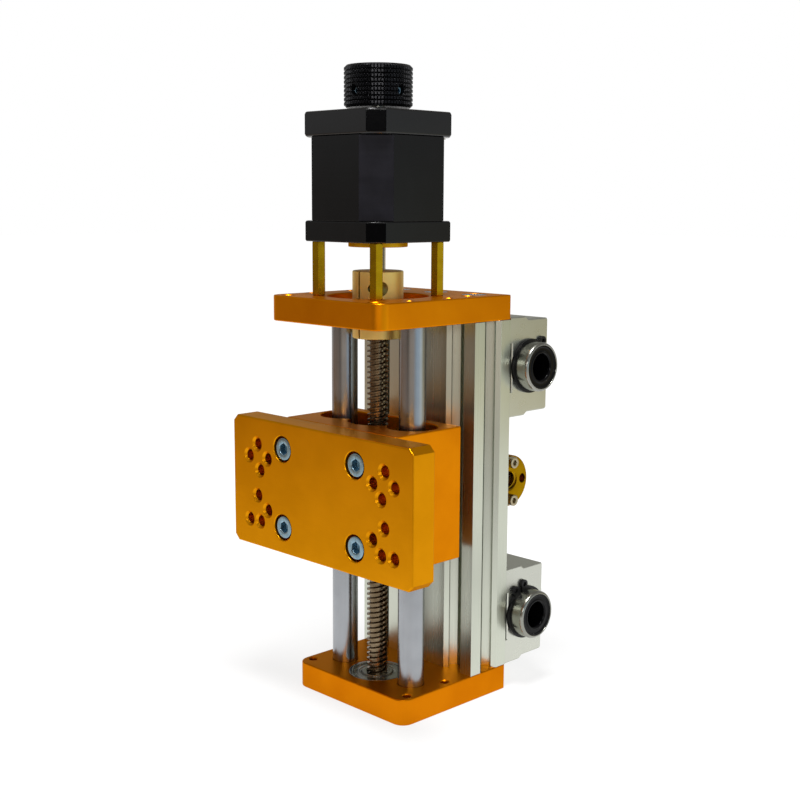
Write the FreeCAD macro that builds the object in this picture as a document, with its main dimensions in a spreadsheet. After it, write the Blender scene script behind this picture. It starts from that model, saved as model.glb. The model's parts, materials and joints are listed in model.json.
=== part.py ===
# Z-axis slide module of a small milling machine, in millimetres.
# X is to the right, Y to the back and Z up. The origin is on the lead screw's axis,
# on the underside of the base plate.
import FreeCAD, Part
import math
import os
import Sketcher
from types import SimpleNamespace
from FreeCAD import Placement, Rotation, Vector

# Driving dimensions, one cell of the sheet each
SIZES = {
    # end plates
    "plate_width": 60.0,
    "base_thickness": 10.0,
    "base_front": 15.5,
    "top_thickness": 9.5,
    "top_front": 28.0,
    "corner_radius": 5.0,
    "back_radius": 0.8,
    "plate_edge": 0.4,
    "side_hole_x": 26.5,
    "side_hole_y": 10.0,
    "side_hole_diameter": 3.3,
    "underside_skin": 1.5,
    # column of V-slot profile
    "column_gap": 21.0,
    "column_depth": 20.0,
    "column_width": 60.0,
    "column_length": 136.2,
    "slot_pitch": 20.0,
    "slot_mouth": 9.16,
    "slot_neck": 6.2,
    "slot_flank": 1.48,
    "slot_lip": 1.8,
    "slot_cavity": 11.0,
    "slot_shoulder": 3.4,
    "slot_depth": 6.1,
    "slot_floor": 5.6,
    "core_hole": 4.2,
    "core_wall": 4.9,
    "chamber_waist": 7.0,
    "chamber_corner": 4.0,
    # guide rods
    "rod_diameter": 10.0,
    "rod_spacing": 37.0,
    "rod_seat_base": 8.0,
    "rod_seat_top": 5.5,
    # countersunk plate screws
    "plate_screw": 4.1,
    "plate_screw_hole": 5.5,
    "plate_screw_head": 10.0,
    "plate_screw_length": 22.0,
    "plate_screw_inset": 0.1,
    "plate_screw_socket": 3.0,
    # lead screw and its lower bearing
    "screw_diameter": 8.0,
    "screw_bottom": 2.0,
    "screw_length": 148.4,
    "bearing_outer": 22.0,
    "bearing_width": 7.0,
    "bearing_inner_land": 12.1,
    "bearing_outer_land": 18.6,
    "ball_diameter": 3.9,
    "shield_thickness": 0.4,
    "shield_recess": 0.3,
    "shield_gap": 0.4,
    "screw_end_hole": 14.0,
    # coupling
    "coupling_drop": 6.2,
    "coupling_diameter": 19.0,
    "coupling_length": 25.0,
    "coupling_slit": 0.8,
    "coupling_hole": 23.0,
    "coupling_edge": 0.5,
    "clamp_screw_hole": 2.7,
    "clamp_screw_length": 9.0,
    "clamp_screw_offset": 6.0,
    "clamp_screw_end": 6.25,
    "clamp_screw_seat": 3.0,
    "clamp_counterbore": 5.4,
    # motor and its standoffs
    "standoff_length": 20.0,
    "standoff_flats": 4.5,
    "stud_length": 4.5,
    "stud_diameter": 2.9,
    "stud_room": 0.3,
    "standoff_tap": 3.0,
    "standoff_tap_depth": 8.0,
    "standoff_screw_length": 10.0,
    "small_screw_hole": 3.4,
    "small_counterbore": 6.0,
    "small_counterbore_depth": 3.4,
    "motor_width": 42.3,
    "motor_bolt_square": 31.0,
    "wide_bolt_square": 47.14,
    "wide_hole": 5.0,
    "wide_pilot": 38.1,
    "wide_pilot_depth": 3.0,
    "front_bell_length": 7.5,
    "stator_length": 30.0,
    "rear_bell_length": 9.0,
    "bell_chamfer": 4.8,
    "stator_chamfer": 8.5,
    "pilot_diameter": 22.0,
    "pilot_height": 2.0,
    "motor_shaft": 5.0,
    "shaft_gap": 0.6,
    "shaft_hole": 8.0,
    "motor_bearing_outer": 16.0,
    "motor_bearing_width": 5.0,
    "motor_bearing_ring": 1.6,
    "rotor_diameter": 26.0,
    "rotor_length": 27.0,
    "air_gap": 0.35,
    "coil_diameter": 4.0,
    "coil_circle": 33.0,
    "coil_room": 0.3,
    "coil_overhang": 0.8,
    "chamber_depth": 1.2,
    "motor_screw_hole": 3.2,
    "motor_screw_grip": 2.4,
    "motor_screw_room": 0.2,
    "connector_width": 16.0,
    "connector_height": 7.5,
    "connector_depth": 8.0,
    "connector_inset": 2.0,
    "connector_wall": 1.0,
    "connector_floor": 1.5,
    # hand knob
    "knob_gap": 1.5,
    "knob_diameter": 25.0,
    "knob_length": 15.0,
    "knob_ring_pitch": 1.6,
    "knob_ring_depth": 0.5,
    "knob_ring_width": 0.6,
    "knob_edge": 1.0,
    "knob_cap": 2.0,
    "grub_height": 5.6,
    "grub_diameter": 3.0,
    "grub_length": 8.0,
    "grub_socket": 1.5,
    "grub_socket_depth": 2.5,
    # carriage
    "carriage_bottom": 58.6,
    "carriage_height": 50.0,
    "carriage_width": 60.0,
    "carriage_front": 19.8,
    "carriage_back": 14.2,
    "tool_plate_width": 99.0,
    "tool_plate_thickness": 10.5,
    "tool_plate_chamfer": 3.0,
    "tool_plate_edge": 0.8,
    "tool_screw_x": 40.0,
    "tool_screw_z": 30.0,
    "tool_screw_hole": 5.4,
    "tool_screw_tap": 5.0,
    "tool_screw_tap_depth": 9.5,
    "tool_screw_length": 13.5,
    "tool_counterbore": 10.0,
    "tool_counterbore_depth": 5.6,
    "tool_hole": 3.3,
    "tool_hole_sink": 6.4,
    "carriage_bearing_lift": 5.0,
    "nut_recess": 22.4,
    "nut_recess_depth": 13.0,
    "inner_ring_groove": 0.5,
    "inner_ring_width": 2.1,
    "inner_ring_gap": 6.0,
    "carriage_groove_start": 3.5,
    # linear bearings
    "sleeve_diameter": 19.0,
    "sleeve_length": 29.0,
    "sleeve_bore": 16.6,
    "sleeve_edge": 0.5,
    "ring_groove": 18.0,
    "ring_thickness": 1.2,
    "retainer_recess": 0.4,
    "retainer_edge": 0.6,
    # flange nuts
    "nut_flange": 22.0,
    "nut_flange_thickness": 3.5,
    "nut_boss": 10.2,
    "nut_boss_length": 10.0,
    "nut_collar": 1.5,
    "nut_bolt_circle": 16.0,
    "nut_hole": 3.5,
    "nut_boss_room": 0.2,
    "nut_screw_tap": 3.0,
    "nut_screw_tap_depth": 8.5,
    "nut_screw_length": 11.0,
    # blocks for the X axis
    "block_height": 38.4,
    "block_rear_height": 36.0,
    "block_depth": 22.0,
    "block_step": 8.8,
    "block_step_ramp": 1.6,
    "block_axis": 11.0,
    "upper_block_lift": 0.8,
    "block_relief_height": 18.5,
    "block_relief_depth": 1.0,
    "block_bolt_z": 26.0,
    "block_counterbore": 7.5,
    "block_counterbore_depth": 4.2,
    "sleeve_overhang": 7.0,
    "outer_ring_width": 1.5,
    "outer_ring_gap": 1.4,
    "ear_diameter": 3.6,
    "ear_hole": 1.8,
    "ear_reach": 2.6,
    "block_edge": 0.4,
    "block_corner": 1.0,
    # X nut and its bracket
    "x_nut_height": 80.9,
    "x_nut_face": 21.5,
    "x_nut_flange": 20.4,
    "x_nut_bolt_circle": 15.2,
    "x_nut_screw_tap": 2.5,
    "bracket_upright": 8.0,
    "bracket_foot": 5.0,
    "bracket_left": 12.0,
    "bracket_height": 30.0,
    "bracket_lug": 20.0,
    "bracket_bolt_z": 20.0,
    "bracket_tap_depth": 7.0,
    "x_nut_screw_length": 9.5,
    # bolts and slot nuts
    "bolt_diameter": 4.0,
    "bolt_hole": 4.4,
    "bolt_tip": 36.4,
    "slot_nut_width": 7.8,
    "slot_nut_length": 10.0,
    "slot_nut_thickness": 3.0,
    # fits, measured on the radius
    "seat": 0.01,
    "slip": 0.04,
}

BALL_COUNT = 7
COIL_COUNT = 8
KNOB_RINGS = 8
HEX_SIDES = 6
# Head diameter, head height and socket width of the socket-head screws, by thread
CAP_SCREWS = {2.5: (4.5, 2.5, 2.0), 3.0: (5.5, 3.0, 2.5), 4.0: (7.0, 4.0, 3.0), 5.0: (8.5, 5.0, 4.0)}
# Tapped holes on the right half of the tool plate, from its centre
TOOL_HOLES = ((35.0, 15.0), (40.0, 10.0), (29.0, 10.0), (33.5, 5.0),
              (35.0, -5.0), (29.0, -10.0), (40.0, -15.0), (33.5, -15.0))
# Where the ears of the X retaining rings point, in degrees from +Y towards +Z
UPPER_EAR_ANGLE = 40.0
LOWER_EAR_ANGLE = 109.0
# Degrees by which the hexagon standoffs are turned
STANDOFF_TURN = 15.0
# Degrees from the gap of a retaining ring to each of its ears
EAR_SWING = 13.0
# Part of a screw head that its hexagon socket leaves solid
SOCKET_FLOOR = 0.45


class Size:
    """A length in millimetres, with the sheet expression that drives it."""

    def __init__(self, value, text):
        self.value = value
        self.text = text

    def __add__(self, other):
        other = as_size(other)
        return Size(self.value + other.value, f"({self.text} + {other.text})")

    def __sub__(self, other):
        other = as_size(other)
        return Size(self.value - other.value, f"({self.text} - {other.text})")

    def __radd__(self, other):
        return as_size(other) + self

    def __rsub__(self, other):
        return as_size(other) - self

    def __mul__(self, factor):
        return Size(self.value * factor, f"({self.text} * {factor:.9f})")

    def __truediv__(self, divisor):
        return Size(self.value / divisor, f"({self.text} / {divisor})")

    def __neg__(self):
        return Size(-self.value, f"(0 - {self.text})")


def as_size(length):
    """A plain number as a Size."""
    return length if isinstance(length, Size) else Size(float(length), f"{float(length):.6f}")


doc = FreeCAD.newDocument("z_axis_module")
sheet = doc.addObject("Spreadsheet::Sheet", "Sizes")
for row, (name, number) in enumerate(SIZES.items(), start=1):
    sheet.set(f"A{row}", name)
    sheet.set(f"B{row}", str(number))
    sheet.setAlias(f"B{row}", name)
doc.recompute()

d = SimpleNamespace(**{name: Size(number, f"Sizes.{name}") for name, number in SIZES.items()})
ZERO = as_size(0.0)
nodes = {}

# Heights and depths that several pieces share
base_top = d.base_thickness
column_top = base_top + d.column_length
plate_top = column_top + d.top_thickness
column_back = d.column_gap + d.column_depth
column_middle = d.column_gap + d.column_depth / 2
coupling_bottom = column_top - d.coupling_drop
motor_face = plate_top + d.standoff_length
bell_top = motor_face + d.front_bell_length
stator_top = bell_top + d.stator_length
motor_top = stator_top + d.rear_bell_length
knob_bottom = motor_top + d.knob_gap
carriage_top = d.carriage_bottom + d.carriage_height
carriage_middle = d.carriage_bottom + d.carriage_height / 2
plate_face = -(d.carriage_front + d.tool_plate_thickness)
block_y = column_back + d.block_axis
upper_block_z = column_top - d.block_height / 2 + d.upper_block_lift
lower_block_z = base_top + d.block_height / 2
rod_x = d.rod_spacing / 2
sleeve_radius = d.sleeve_diameter / 2


def bind(target, path, length):
    """Ties one property of an object to the sheet."""
    target.setExpression(path, as_size(length).text)


def keep(piece, label):
    """Names a finished piece and lists it for export."""
    piece.Label = label
    nodes[label] = piece
    return piece


def place(piece, x=0, y=0, z=0, turn=None):
    """Puts a piece at x, y, z, tied to the sheet, after an optional turn."""
    x, y, z = as_size(x), as_size(y), as_size(z)
    piece.Placement = Placement(Vector(x.value, y.value, z.value), turn or Rotation())
    for axis, length in (("x", x), ("y", y), ("z", z)):
        bind(piece, f"Placement.Base.{axis}", length)
    return piece


# Part Design helpers


def new_body(label):
    """An empty body that becomes the node of that name."""
    return keep(doc.addObject("PartDesign::Body", label), label)


def circle(x, y, radius):
    """One circle of a sketch."""
    return ("circle", as_size(x), as_size(y), as_size(radius))


def outline(points):
    """One closed outline of straight lines."""
    return ("outline", [(as_size(u), as_size(v)) for u, v in points])


def rectangle(left, low, right, high):
    """One closed rectangle."""
    return outline([(left, low), (right, low), (right, high), (left, high)])


def pin_point(sketch, line, point, x, y):
    """Fixes a sketch point by two constraints tied to the sheet."""
    for kind, length, axis in (("DistanceX", x, -2), ("DistanceY", y, -1)):
        if abs(length.value) < 1e-9:
            sketch.addConstraint(Sketcher.Constraint("PointOnObject", line, point, axis))
        else:
            number = sketch.addConstraint(Sketcher.Constraint(kind, -1, 1, line, point, length.value))
            bind(sketch, f"Constraints[{number}]", length)


def draw(body, plane, level, shapes):
    """A sketch on one of the body's origin planes, moved to a level along that plane's axis."""
    sketch = body.newObject("Sketcher::SketchObject", f"{body.Name}_sketch")
    origin_plane = next(item for item in body.Origin.OriginFeatures if item.Role == plane)
    sketch.AttachmentSupport = [(origin_plane, "")]
    sketch.MapMode = "FlatFace"
    # The normal of the XZ plane points to the front, along -Y.
    offset = -as_size(level) if plane == "XZ_Plane" else as_size(level)
    sketch.AttachmentOffset = Placement(Vector(0, 0, offset.value), Rotation())
    bind(sketch, "AttachmentOffset.Base.z", offset)
    for shape in shapes:
        if shape[0] == "circle":
            _, x, y, radius = shape
            curve = Part.Circle(Vector(x.value, y.value, 0), Vector(0, 0, 1), radius.value)
            number = sketch.addGeometry(curve, False)
            pin_point(sketch, number, 3, x, y)
            bound = sketch.addConstraint(Sketcher.Constraint("Radius", number, radius.value))
            bind(sketch, f"Constraints[{bound}]", radius)
        else:
            points = shape[1]
            corners = [Vector(u.value, v.value, 0) for u, v in points]
            ring = zip(corners, corners[1:] + corners[:1])
            lines = [sketch.addGeometry(Part.LineSegment(a, b), False) for a, b in ring]
            for line, following, (u, v) in zip(lines, lines[1:] + lines[:1], points):
                sketch.addConstraint(Sketcher.Constraint("Coincident", line, 2, following, 1))
                pin_point(sketch, line, 1, u, v)
    doc.recompute()
    return sketch


def pad(body, plane, level, shapes, length, reverse=False):
    """Adds a prism to a body."""
    sketch = draw(body, plane, level, shapes)
    feature = body.newObject("PartDesign::Pad", f"{body.Name}_pad")
    feature.Profile = sketch
    feature.Reversed = reverse
    feature.Length = as_size(length).value
    bind(feature, "Length", length)
    doc.recompute()
    return feature


def pocket(body, plane, level, shapes, depth=None, reverse=False):
    """Cuts a prism out of a body, right through where no depth is given."""
    before = body.Shape.Volume
    sketch = draw(body, plane, level, shapes)
    feature = body.newObject("PartDesign::Pocket", f"{body.Name}_pocket")
    feature.Profile = sketch
    feature.Reversed = reverse
    if depth is None:
        feature.Type = "ThroughAll"
    else:
        feature.Length = as_size(depth).value
        bind(feature, "Length", depth)
    doc.recompute()
    check_cut(body, before)
    return feature


def sunk_holes(body, plane, level, places, diameter, sink, depth=None, kind="Countersink", reverse=False):
    """Drills through holes with a countersink, or with a counterbore of the given depth."""
    before = body.Shape.Volume
    sketch = draw(body, plane, level, [circle(x, y, as_size(diameter) / 2) for x, y in places])
    feature = body.newObject("PartDesign::Hole", f"{body.Name}_hole")
    feature.Profile = sketch
    feature.Reversed = reverse
    feature.ThreadType = "None"
    feature.DepthType = "ThroughAll"
    feature.HoleCutType = kind
    feature.Diameter = as_size(diameter).value
    feature.HoleCutDiameter = as_size(sink).value
    bind(feature, "Diameter", diameter)
    bind(feature, "HoleCutDiameter", sink)
    if kind == "Countersink":
        feature.HoleCutCountersinkAngle = 90.0
    else:
        feature.HoleCutDepth = as_size(depth).value
        bind(feature, "HoleCutDepth", depth)
    doc.recompute()
    check_cut(body, before)
    return feature


def check_cut(body, before):
    """Stops where a cut took nothing away."""
    if not body.Shape.Volume < before - 1e-6:
        raise RuntimeError(f"a cut of {body.Label} removed nothing")


def edges_where(shape, test):
    """Names of the straight edges whose direction and middle pass a test."""
    names = []
    for number, edge in enumerate(shape.Edges, start=1):
        if isinstance(edge.Curve, (Part.Line, Part.LineSegment)):
            middle = edge.valueAt((edge.FirstParameter + edge.LastParameter) / 2)
            if test(edge.tangentAt(edge.FirstParameter), middle):
                names.append(f"Edge{number}")
    return names


def dress_edges(body, kind, amount, test):
    """Rounds or bevels the edges of a body's last feature that pass a test."""
    last = body.Tip
    feature = body.newObject(f"PartDesign::{kind}", f"{body.Name}_{kind.lower()}")
    feature.Base = (last, edges_where(last.Shape, test))
    size_name = "Radius" if kind == "Fillet" else "Size"
    setattr(feature, size_name, as_size(amount).value)
    bind(feature, size_name, amount)
    doc.recompute()
    return feature


def turned(label, profile):
    """A turned piece from its half section of radius and height, with the Z axis as its centre."""
    body = new_body(label)
    sketch = draw(body, "XZ_Plane", 0, [outline(profile)])
    feature = body.newObject("PartDesign::Revolution", f"{body.Name}_turn")
    feature.Profile = sketch
    feature.ReferenceAxis = (sketch, ["V_Axis"])
    feature.Angle = 360.0
    doc.recompute()
    return body


def vertical(direction, _middle):
    """Edges along Z."""
    return abs(direction.z) > 0.99


def level_edge(direction, _middle):
    """Edges that lie level."""
    return abs(direction.z) < 0.01


# Part primitives and groups


def cylinder(name, radius, height, x=0, y=0, z=0):
    """A cylinder standing on z."""
    piece = doc.addObject("Part::Cylinder", name)
    bind(piece, "Radius", radius)
    bind(piece, "Height", height)
    return place(piece, x, y, z)


def tube(label, outer, inner, height, z=0):
    """A plain ring or tube about the Z axis."""
    piece = doc.addObject("Part::Cut", label)
    piece.Base = cylinder(f"{label}_outside", outer, height, z=z)
    piece.Tool = cylinder(f"{label}_inside", inner, height, z=z)
    return keep(piece, label)


def group(label, shape, places):
    """Equal separate solids that share a node."""
    piece = doc.addObject("Part::Feature", label)
    copies = []
    for placement in places:
        copy = shape.copy()
        copy.Placement = placement.multiply(copy.Placement)
        copies.append(copy)
    piece.Shape = Part.makeCompound(copies)
    piece.Placement = Placement()
    return keep(piece, label)


def prism(width, height):
    """A hexagonal prism of a width across flats, standing on the origin."""
    reach = width / 2 / math.cos(math.pi / HEX_SIDES)
    angles = [2 * math.pi * side / HEX_SIDES for side in range(HEX_SIDES + 1)]
    wire = Part.makePolygon([Vector(reach * math.cos(a), reach * math.sin(a), 0) for a in angles])
    return Part.Face(wire).extrude(Vector(0, 0, height))


def cap_screw(thread, length):
    """A socket-head screw along Z, its head standing on the origin and its shank below."""
    head, height, socket = CAP_SCREWS[thread]
    shank = Part.makeCylinder(thread / 2, length, Vector(0, 0, -length))
    screw = Part.makeCylinder(head / 2, height).fuse(shank)
    hollow = prism(socket, height)
    hollow.translate(Vector(0, 0, height * SOCKET_FLOOR))
    return screw.cut(hollow).removeSplitter()


def countersunk_screw():
    """A plate screw along Z, its flat head level with the origin and its shank below."""
    head = d.plate_screw_head.value / 2 - d.plate_screw_inset.value
    shank = d.plate_screw.value / 2
    sink = head - shank
    length = d.plate_screw_length.value
    cone = Part.makeCone(shank, head, sink, Vector(0, 0, -sink))
    screw = cone.fuse(Part.makeCylinder(shank, length - sink, Vector(0, 0, -length)))
    hollow = prism(d.plate_screw_socket.value, sink)
    hollow.translate(Vector(0, 0, sink * (SOCKET_FLOOR - 1)))
    return screw.cut(hollow).removeSplitter()


def at(x, y, z, turn=None):
    """A placement from sheet lengths or plain numbers."""
    return Placement(Vector(as_size(x).value, as_size(y).value, as_size(z).value), turn or Rotation())


UPSIDE_DOWN = Rotation(Vector(1, 0, 0), 180)
# Turns that point the Z axis of a piece along another axis
TO_FRONT = Rotation(Vector(1, 0, 0), 90)
TO_BACK = Rotation(Vector(1, 0, 0), -90)
TO_RIGHT = Rotation(Vector(0, 1, 0), 90)

# End plates

square_places = [(sx, sy) for sx in (-1, 1) for sy in (-1, 1)]
slot_columns = (-1, 0, 1)
plate_screw_places = [(d.slot_pitch * step, column_middle) for step in slot_columns]
rod_circles = [circle(rod_x * side, 0, d.rod_diameter / 2 + d.seat) for side in (-1, 1)]
side_circles = [circle(d.side_hole_x * sx, d.side_hole_y * sy, d.side_hole_diameter / 2)
                for sx, sy in square_places]


def plate_blank(label, front, bottom, thickness):
    """An end plate with large rounds at its front corners and small ones behind."""
    body = new_body(label)
    half = d.plate_width / 2
    pad(body, "XY_Plane", bottom, [rectangle(-half, -front, half, column_back)], thickness)
    dress_edges(body, "Fillet", d.corner_radius, lambda way, mid: vertical(way, mid) and mid.y < 0)
    dress_edges(body, "Fillet", d.back_radius,
                lambda way, mid: vertical(way, mid) and mid.y > column_back.value - 0.01)
    dress_edges(body, "Chamfer", d.plate_edge, level_edge)
    return body


base_plate = plate_blank("base_plate", d.base_front, ZERO, d.base_thickness)
pocket(base_plate, "XY_Plane", base_top, [circle(0, 0, d.bearing_outer / 2 + d.seat)], d.bearing_width)
pocket(base_plate, "XY_Plane", base_top, [circle(0, 0, d.screw_end_hole / 2)], base_top - d.underside_skin)
pocket(base_plate, "XY_Plane", base_top, rod_circles, d.rod_seat_base)
pocket(base_plate, "XY_Plane", base_top, side_circles)
sunk_holes(base_plate, "XY_Plane", ZERO, plate_screw_places, d.plate_screw_hole, d.plate_screw_head,
           reverse=True)

top_plate = plate_blank("top_plate", d.top_front, column_top, d.top_thickness)
standoff_places = [(d.motor_bolt_square / 2 * sx, d.motor_bolt_square / 2 * sy) for sx, sy in square_places]
wide_circles = [circle(d.wide_bolt_square / 2 * sx, d.wide_bolt_square / 2 * sy, d.wide_hole / 2)
                for sx, sy in square_places]
pocket(top_plate, "XY_Plane", plate_top, [circle(0, 0, d.wide_pilot / 2)], d.wide_pilot_depth)
pocket(top_plate, "XY_Plane", plate_top, [circle(0, 0, d.coupling_hole / 2)])
pocket(top_plate, "XY_Plane", column_top, rod_circles, d.rod_seat_top, reverse=True)
pocket(top_plate, "XY_Plane", plate_top, wide_circles)
pocket(top_plate, "XY_Plane", plate_top, side_circles)
sunk_holes(top_plate, "XY_Plane", column_top, standoff_places, d.small_screw_hole, d.small_counterbore,
           d.small_counterbore_depth, "Counterbore", reverse=True)
sunk_holes(top_plate, "XY_Plane", plate_top, plate_screw_places, d.plate_screw_hole, d.plate_screw_head)

plate_screw = countersunk_screw()
group("base_plate_screws", plate_screw,
      [at(x, y, d.plate_screw_inset, UPSIDE_DOWN) for x, y in plate_screw_places])
group("top_plate_screws", plate_screw,
      [at(x, y, plate_top - d.plate_screw_inset) for x, y in plate_screw_places])

# Column: a V-slot profile three modules wide

slot_neck = d.slot_neck / 2
slot_cavity = d.slot_cavity / 2
half_slot = [(d.slot_mouth / 2, ZERO), (slot_neck, d.slot_flank), (slot_neck, d.slot_lip),
             (slot_cavity, d.slot_lip), (slot_cavity, d.slot_shoulder), (d.slot_floor / 2, d.slot_depth)]
slot_section = half_slot + [(-u, v) for u, v in reversed(half_slot)]
half_chamber = [(d.chamber_waist, d.slot_lip), (d.chamber_waist, d.chamber_corner),
                (d.core_wall, d.slot_depth)]
chamber_side = half_chamber + [(u, d.column_depth - v) for u, v in reversed(half_chamber)]
chamber_section = chamber_side + [(d.slot_pitch - u, v) for u, v in reversed(chamber_side)]

column = new_body("column_profile")
column_half = d.column_width / 2
pad(column, "XY_Plane", base_top, [rectangle(-column_half, d.column_gap, column_half, column_back)],
    d.column_length)
column_cuts = []
for step in slot_columns:
    centre = d.slot_pitch * step
    column_cuts.append(outline([(centre + u, d.column_gap + v) for u, v in slot_section]))
    column_cuts.append(outline([(centre + u, column_back - v) for u, v in slot_section]))
column_cuts.append(outline([(column_half - v, column_middle + u) for u, v in slot_section]))
column_cuts.append(outline([(v - column_half, column_middle + u) for u, v in slot_section]))
for shift in (ZERO, d.slot_pitch):
    column_cuts.append(outline([(u - shift, d.column_gap + v) for u, v in chamber_section]))
for cut in column_cuts:
    pocket(column, "XY_Plane", column_top, [cut])
pocket(column, "XY_Plane", column_top, [circle(x, y, d.core_hole / 2) for x, y in plate_screw_places])

# Guide rods

rod_bottom = base_top - d.rod_seat_base
rod_length = column_top + d.rod_seat_top - rod_bottom
for side, label in ((-1, "guide_rod_left"), (1, "guide_rod_right")):
    keep(cylinder(label, d.rod_diameter / 2, rod_length, x=rod_x * side, z=rod_bottom), label)

# Lead screw and its lower ball bearing

keep(cylinder("lead_screw", d.screw_diameter / 2, d.screw_length, z=d.screw_bottom), "lead_screw")

bearing_bottom = base_top - d.bearing_width
ball_circle = (d.bearing_inner_land + d.bearing_outer_land) / 4


def grooved_ring(label, outer, inner):
    """A ring of the ball bearing with its ball track."""
    blank = doc.addObject("Part::Cut", f"{label}_blank")
    blank.Base = cylinder(f"{label}_outside", outer, d.bearing_width, z=bearing_bottom)
    blank.Tool = cylinder(f"{label}_inside", inner, d.bearing_width, z=bearing_bottom)
    track = doc.addObject("Part::Torus", f"{label}_track")
    bind(track, "Radius1", ball_circle)
    bind(track, "Radius2", d.ball_diameter / 2 + d.slip)
    place(track, z=bearing_bottom + d.bearing_width / 2)
    ring = doc.addObject("Part::Cut", label)
    ring.Base = blank
    ring.Tool = track
    return keep(ring, label)


grooved_ring("screw_bearing_outer_ring", d.bearing_outer / 2, d.bearing_outer_land / 2)
grooved_ring("screw_bearing_inner_ring", d.bearing_inner_land / 2, d.screw_diameter / 2 + d.seat)
ball = Part.makeSphere(d.ball_diameter.value / 2)
ball_turns = [2 * math.pi * number / BALL_COUNT for number in range(BALL_COUNT)]
ball_level = bearing_bottom + d.bearing_width / 2
group("screw_bearing_balls", ball,
      [at(ball_circle * math.cos(a), ball_circle * math.sin(a), ball_level) for a in ball_turns])
shield = Part.makeCylinder(d.bearing_outer_land.value / 2 - d.seat.value, d.shield_thickness.value)
shield_bore = d.bearing_inner_land.value / 2 + d.shield_gap.value
shield = shield.cut(Part.makeCylinder(shield_bore, d.shield_thickness.value))
group("screw_bearing_shields", shield,
      [at(0, 0, bearing_bottom + d.shield_recess), at(0, 0, base_top - d.shield_recess - d.shield_thickness)])

# Clamping coupling: one split cylinder with two bores and two clamp screws

coupling_top = coupling_bottom + d.coupling_length
coupling_middle = coupling_bottom + d.coupling_length / 2
clamp_heights = (coupling_bottom + d.clamp_screw_end, coupling_top - d.clamp_screw_end)
coupling_radius = d.coupling_diameter / 2
coupling_rim = coupling_radius - d.coupling_edge
screw_bore = d.screw_diameter / 2 + d.seat
shaft_bore = d.motor_shaft / 2 + d.seat
coupling = turned("shaft_coupling", [
    (screw_bore, coupling_bottom), (coupling_rim, coupling_bottom),
    (coupling_radius, coupling_bottom + d.coupling_edge), (coupling_radius, coupling_top - d.coupling_edge),
    (coupling_rim, coupling_top), (shaft_bore, coupling_top),
    (shaft_bore, coupling_middle), (screw_bore, coupling_middle)])
slit_half = d.coupling_slit / 2
pocket(coupling, "XY_Plane", coupling_top, [rectangle(-slit_half, -d.coupling_diameter, slit_half, ZERO)])
pocket(coupling, "YZ_Plane", d.coupling_diameter,
       [circle(-d.clamp_screw_offset, z, d.clamp_screw_hole / 2) for z in clamp_heights])
pocket(coupling, "YZ_Plane", d.clamp_screw_seat,
       [circle(-d.clamp_screw_offset, z, d.clamp_counterbore / 2) for z in clamp_heights],
       d.coupling_diameter, reverse=True)
group("coupling_screws", cap_screw(2.5, d.clamp_screw_length.value),
      [at(d.clamp_screw_seat, -d.clamp_screw_offset, z, TO_RIGHT) for z in clamp_heights])

# Stepper motor on four hexagon standoffs

standoff = prism(d.standoff_flats.value, d.standoff_length.value)
stud_foot = Vector(0, 0, d.standoff_length.value)
standoff = standoff.fuse(Part.makeCylinder(d.stud_diameter.value / 2, d.stud_length.value, stud_foot))
standoff = standoff.cut(Part.makeCylinder(d.standoff_tap.value / 2, d.standoff_tap_depth.value))
standoff_turn = Rotation(Vector(0, 0, 1), STANDOFF_TURN)
group("motor_standoffs", standoff, [at(x, y, plate_top, standoff_turn) for x, y in standoff_places])
group("standoff_screws", cap_screw(3.0, d.standoff_screw_length.value),
      [at(x, y, column_top + d.small_counterbore_depth, UPSIDE_DOWN) for x, y in standoff_places])

motor_half = d.motor_width / 2
motor_square = [rectangle(-motor_half, -motor_half, motor_half, motor_half)]
stud_circles = [circle(x, y, d.standoff_tap / 2) for x, y in standoff_places]
long_screw_circles = [circle(x, y, d.motor_screw_hole / 2) for x, y in standoff_places]
long_screw_end = d.motor_screw_grip + d.motor_screw_room
chamber_radius = d.coil_circle / 2 + d.coil_diameter / 2 + d.coil_room


def motor_section(label, bottom, length, chamfer):
    """A square length of the motor with bevelled corners."""
    body = new_body(label)
    pad(body, "XY_Plane", bottom, motor_square, length)
    dress_edges(body, "Chamfer", chamfer, vertical)
    return body


front_bell = motor_section("motor_front_bell", motor_face, d.front_bell_length, d.bell_chamfer)
pad(front_bell, "XY_Plane", motor_face, [circle(0, 0, d.pilot_diameter / 2)], d.pilot_height, reverse=True)
bearing_seat = [circle(0, 0, d.motor_bearing_outer / 2 + d.seat)]
pocket(front_bell, "XY_Plane", bell_top, bearing_seat, d.motor_bearing_width)
pocket(front_bell, "XY_Plane", bell_top, [circle(0, 0, chamber_radius)], d.chamber_depth)
pocket(front_bell, "XY_Plane", bell_top, [circle(0, 0, d.shaft_hole / 2)])
pocket(front_bell, "XY_Plane", motor_face, stud_circles, d.stud_length + d.stud_room, reverse=True)
pocket(front_bell, "XY_Plane", bell_top, long_screw_circles, long_screw_end)

stator = motor_section("motor_stator", bell_top, d.stator_length, d.stator_chamfer)
coil_turns = [2 * math.pi * (number + 0.5) / COIL_COUNT for number in range(COIL_COUNT)]
coil_places = [(d.coil_circle / 2 * math.cos(a), d.coil_circle / 2 * math.sin(a)) for a in coil_turns]
pocket(stator, "XY_Plane", stator_top, [circle(0, 0, d.rotor_diameter / 2 + d.air_gap)])
pocket(stator, "XY_Plane", stator_top, [circle(x, y, d.coil_diameter / 2 + d.seat) for x, y in coil_places])
pocket(stator, "XY_Plane", stator_top, long_screw_circles)
coil = Part.makeCylinder(d.coil_diameter.value / 2, (d.stator_length + d.coil_overhang * 2).value)
group("motor_coils", coil, [at(x, y, bell_top - d.coil_overhang) for x, y in coil_places])

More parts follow.
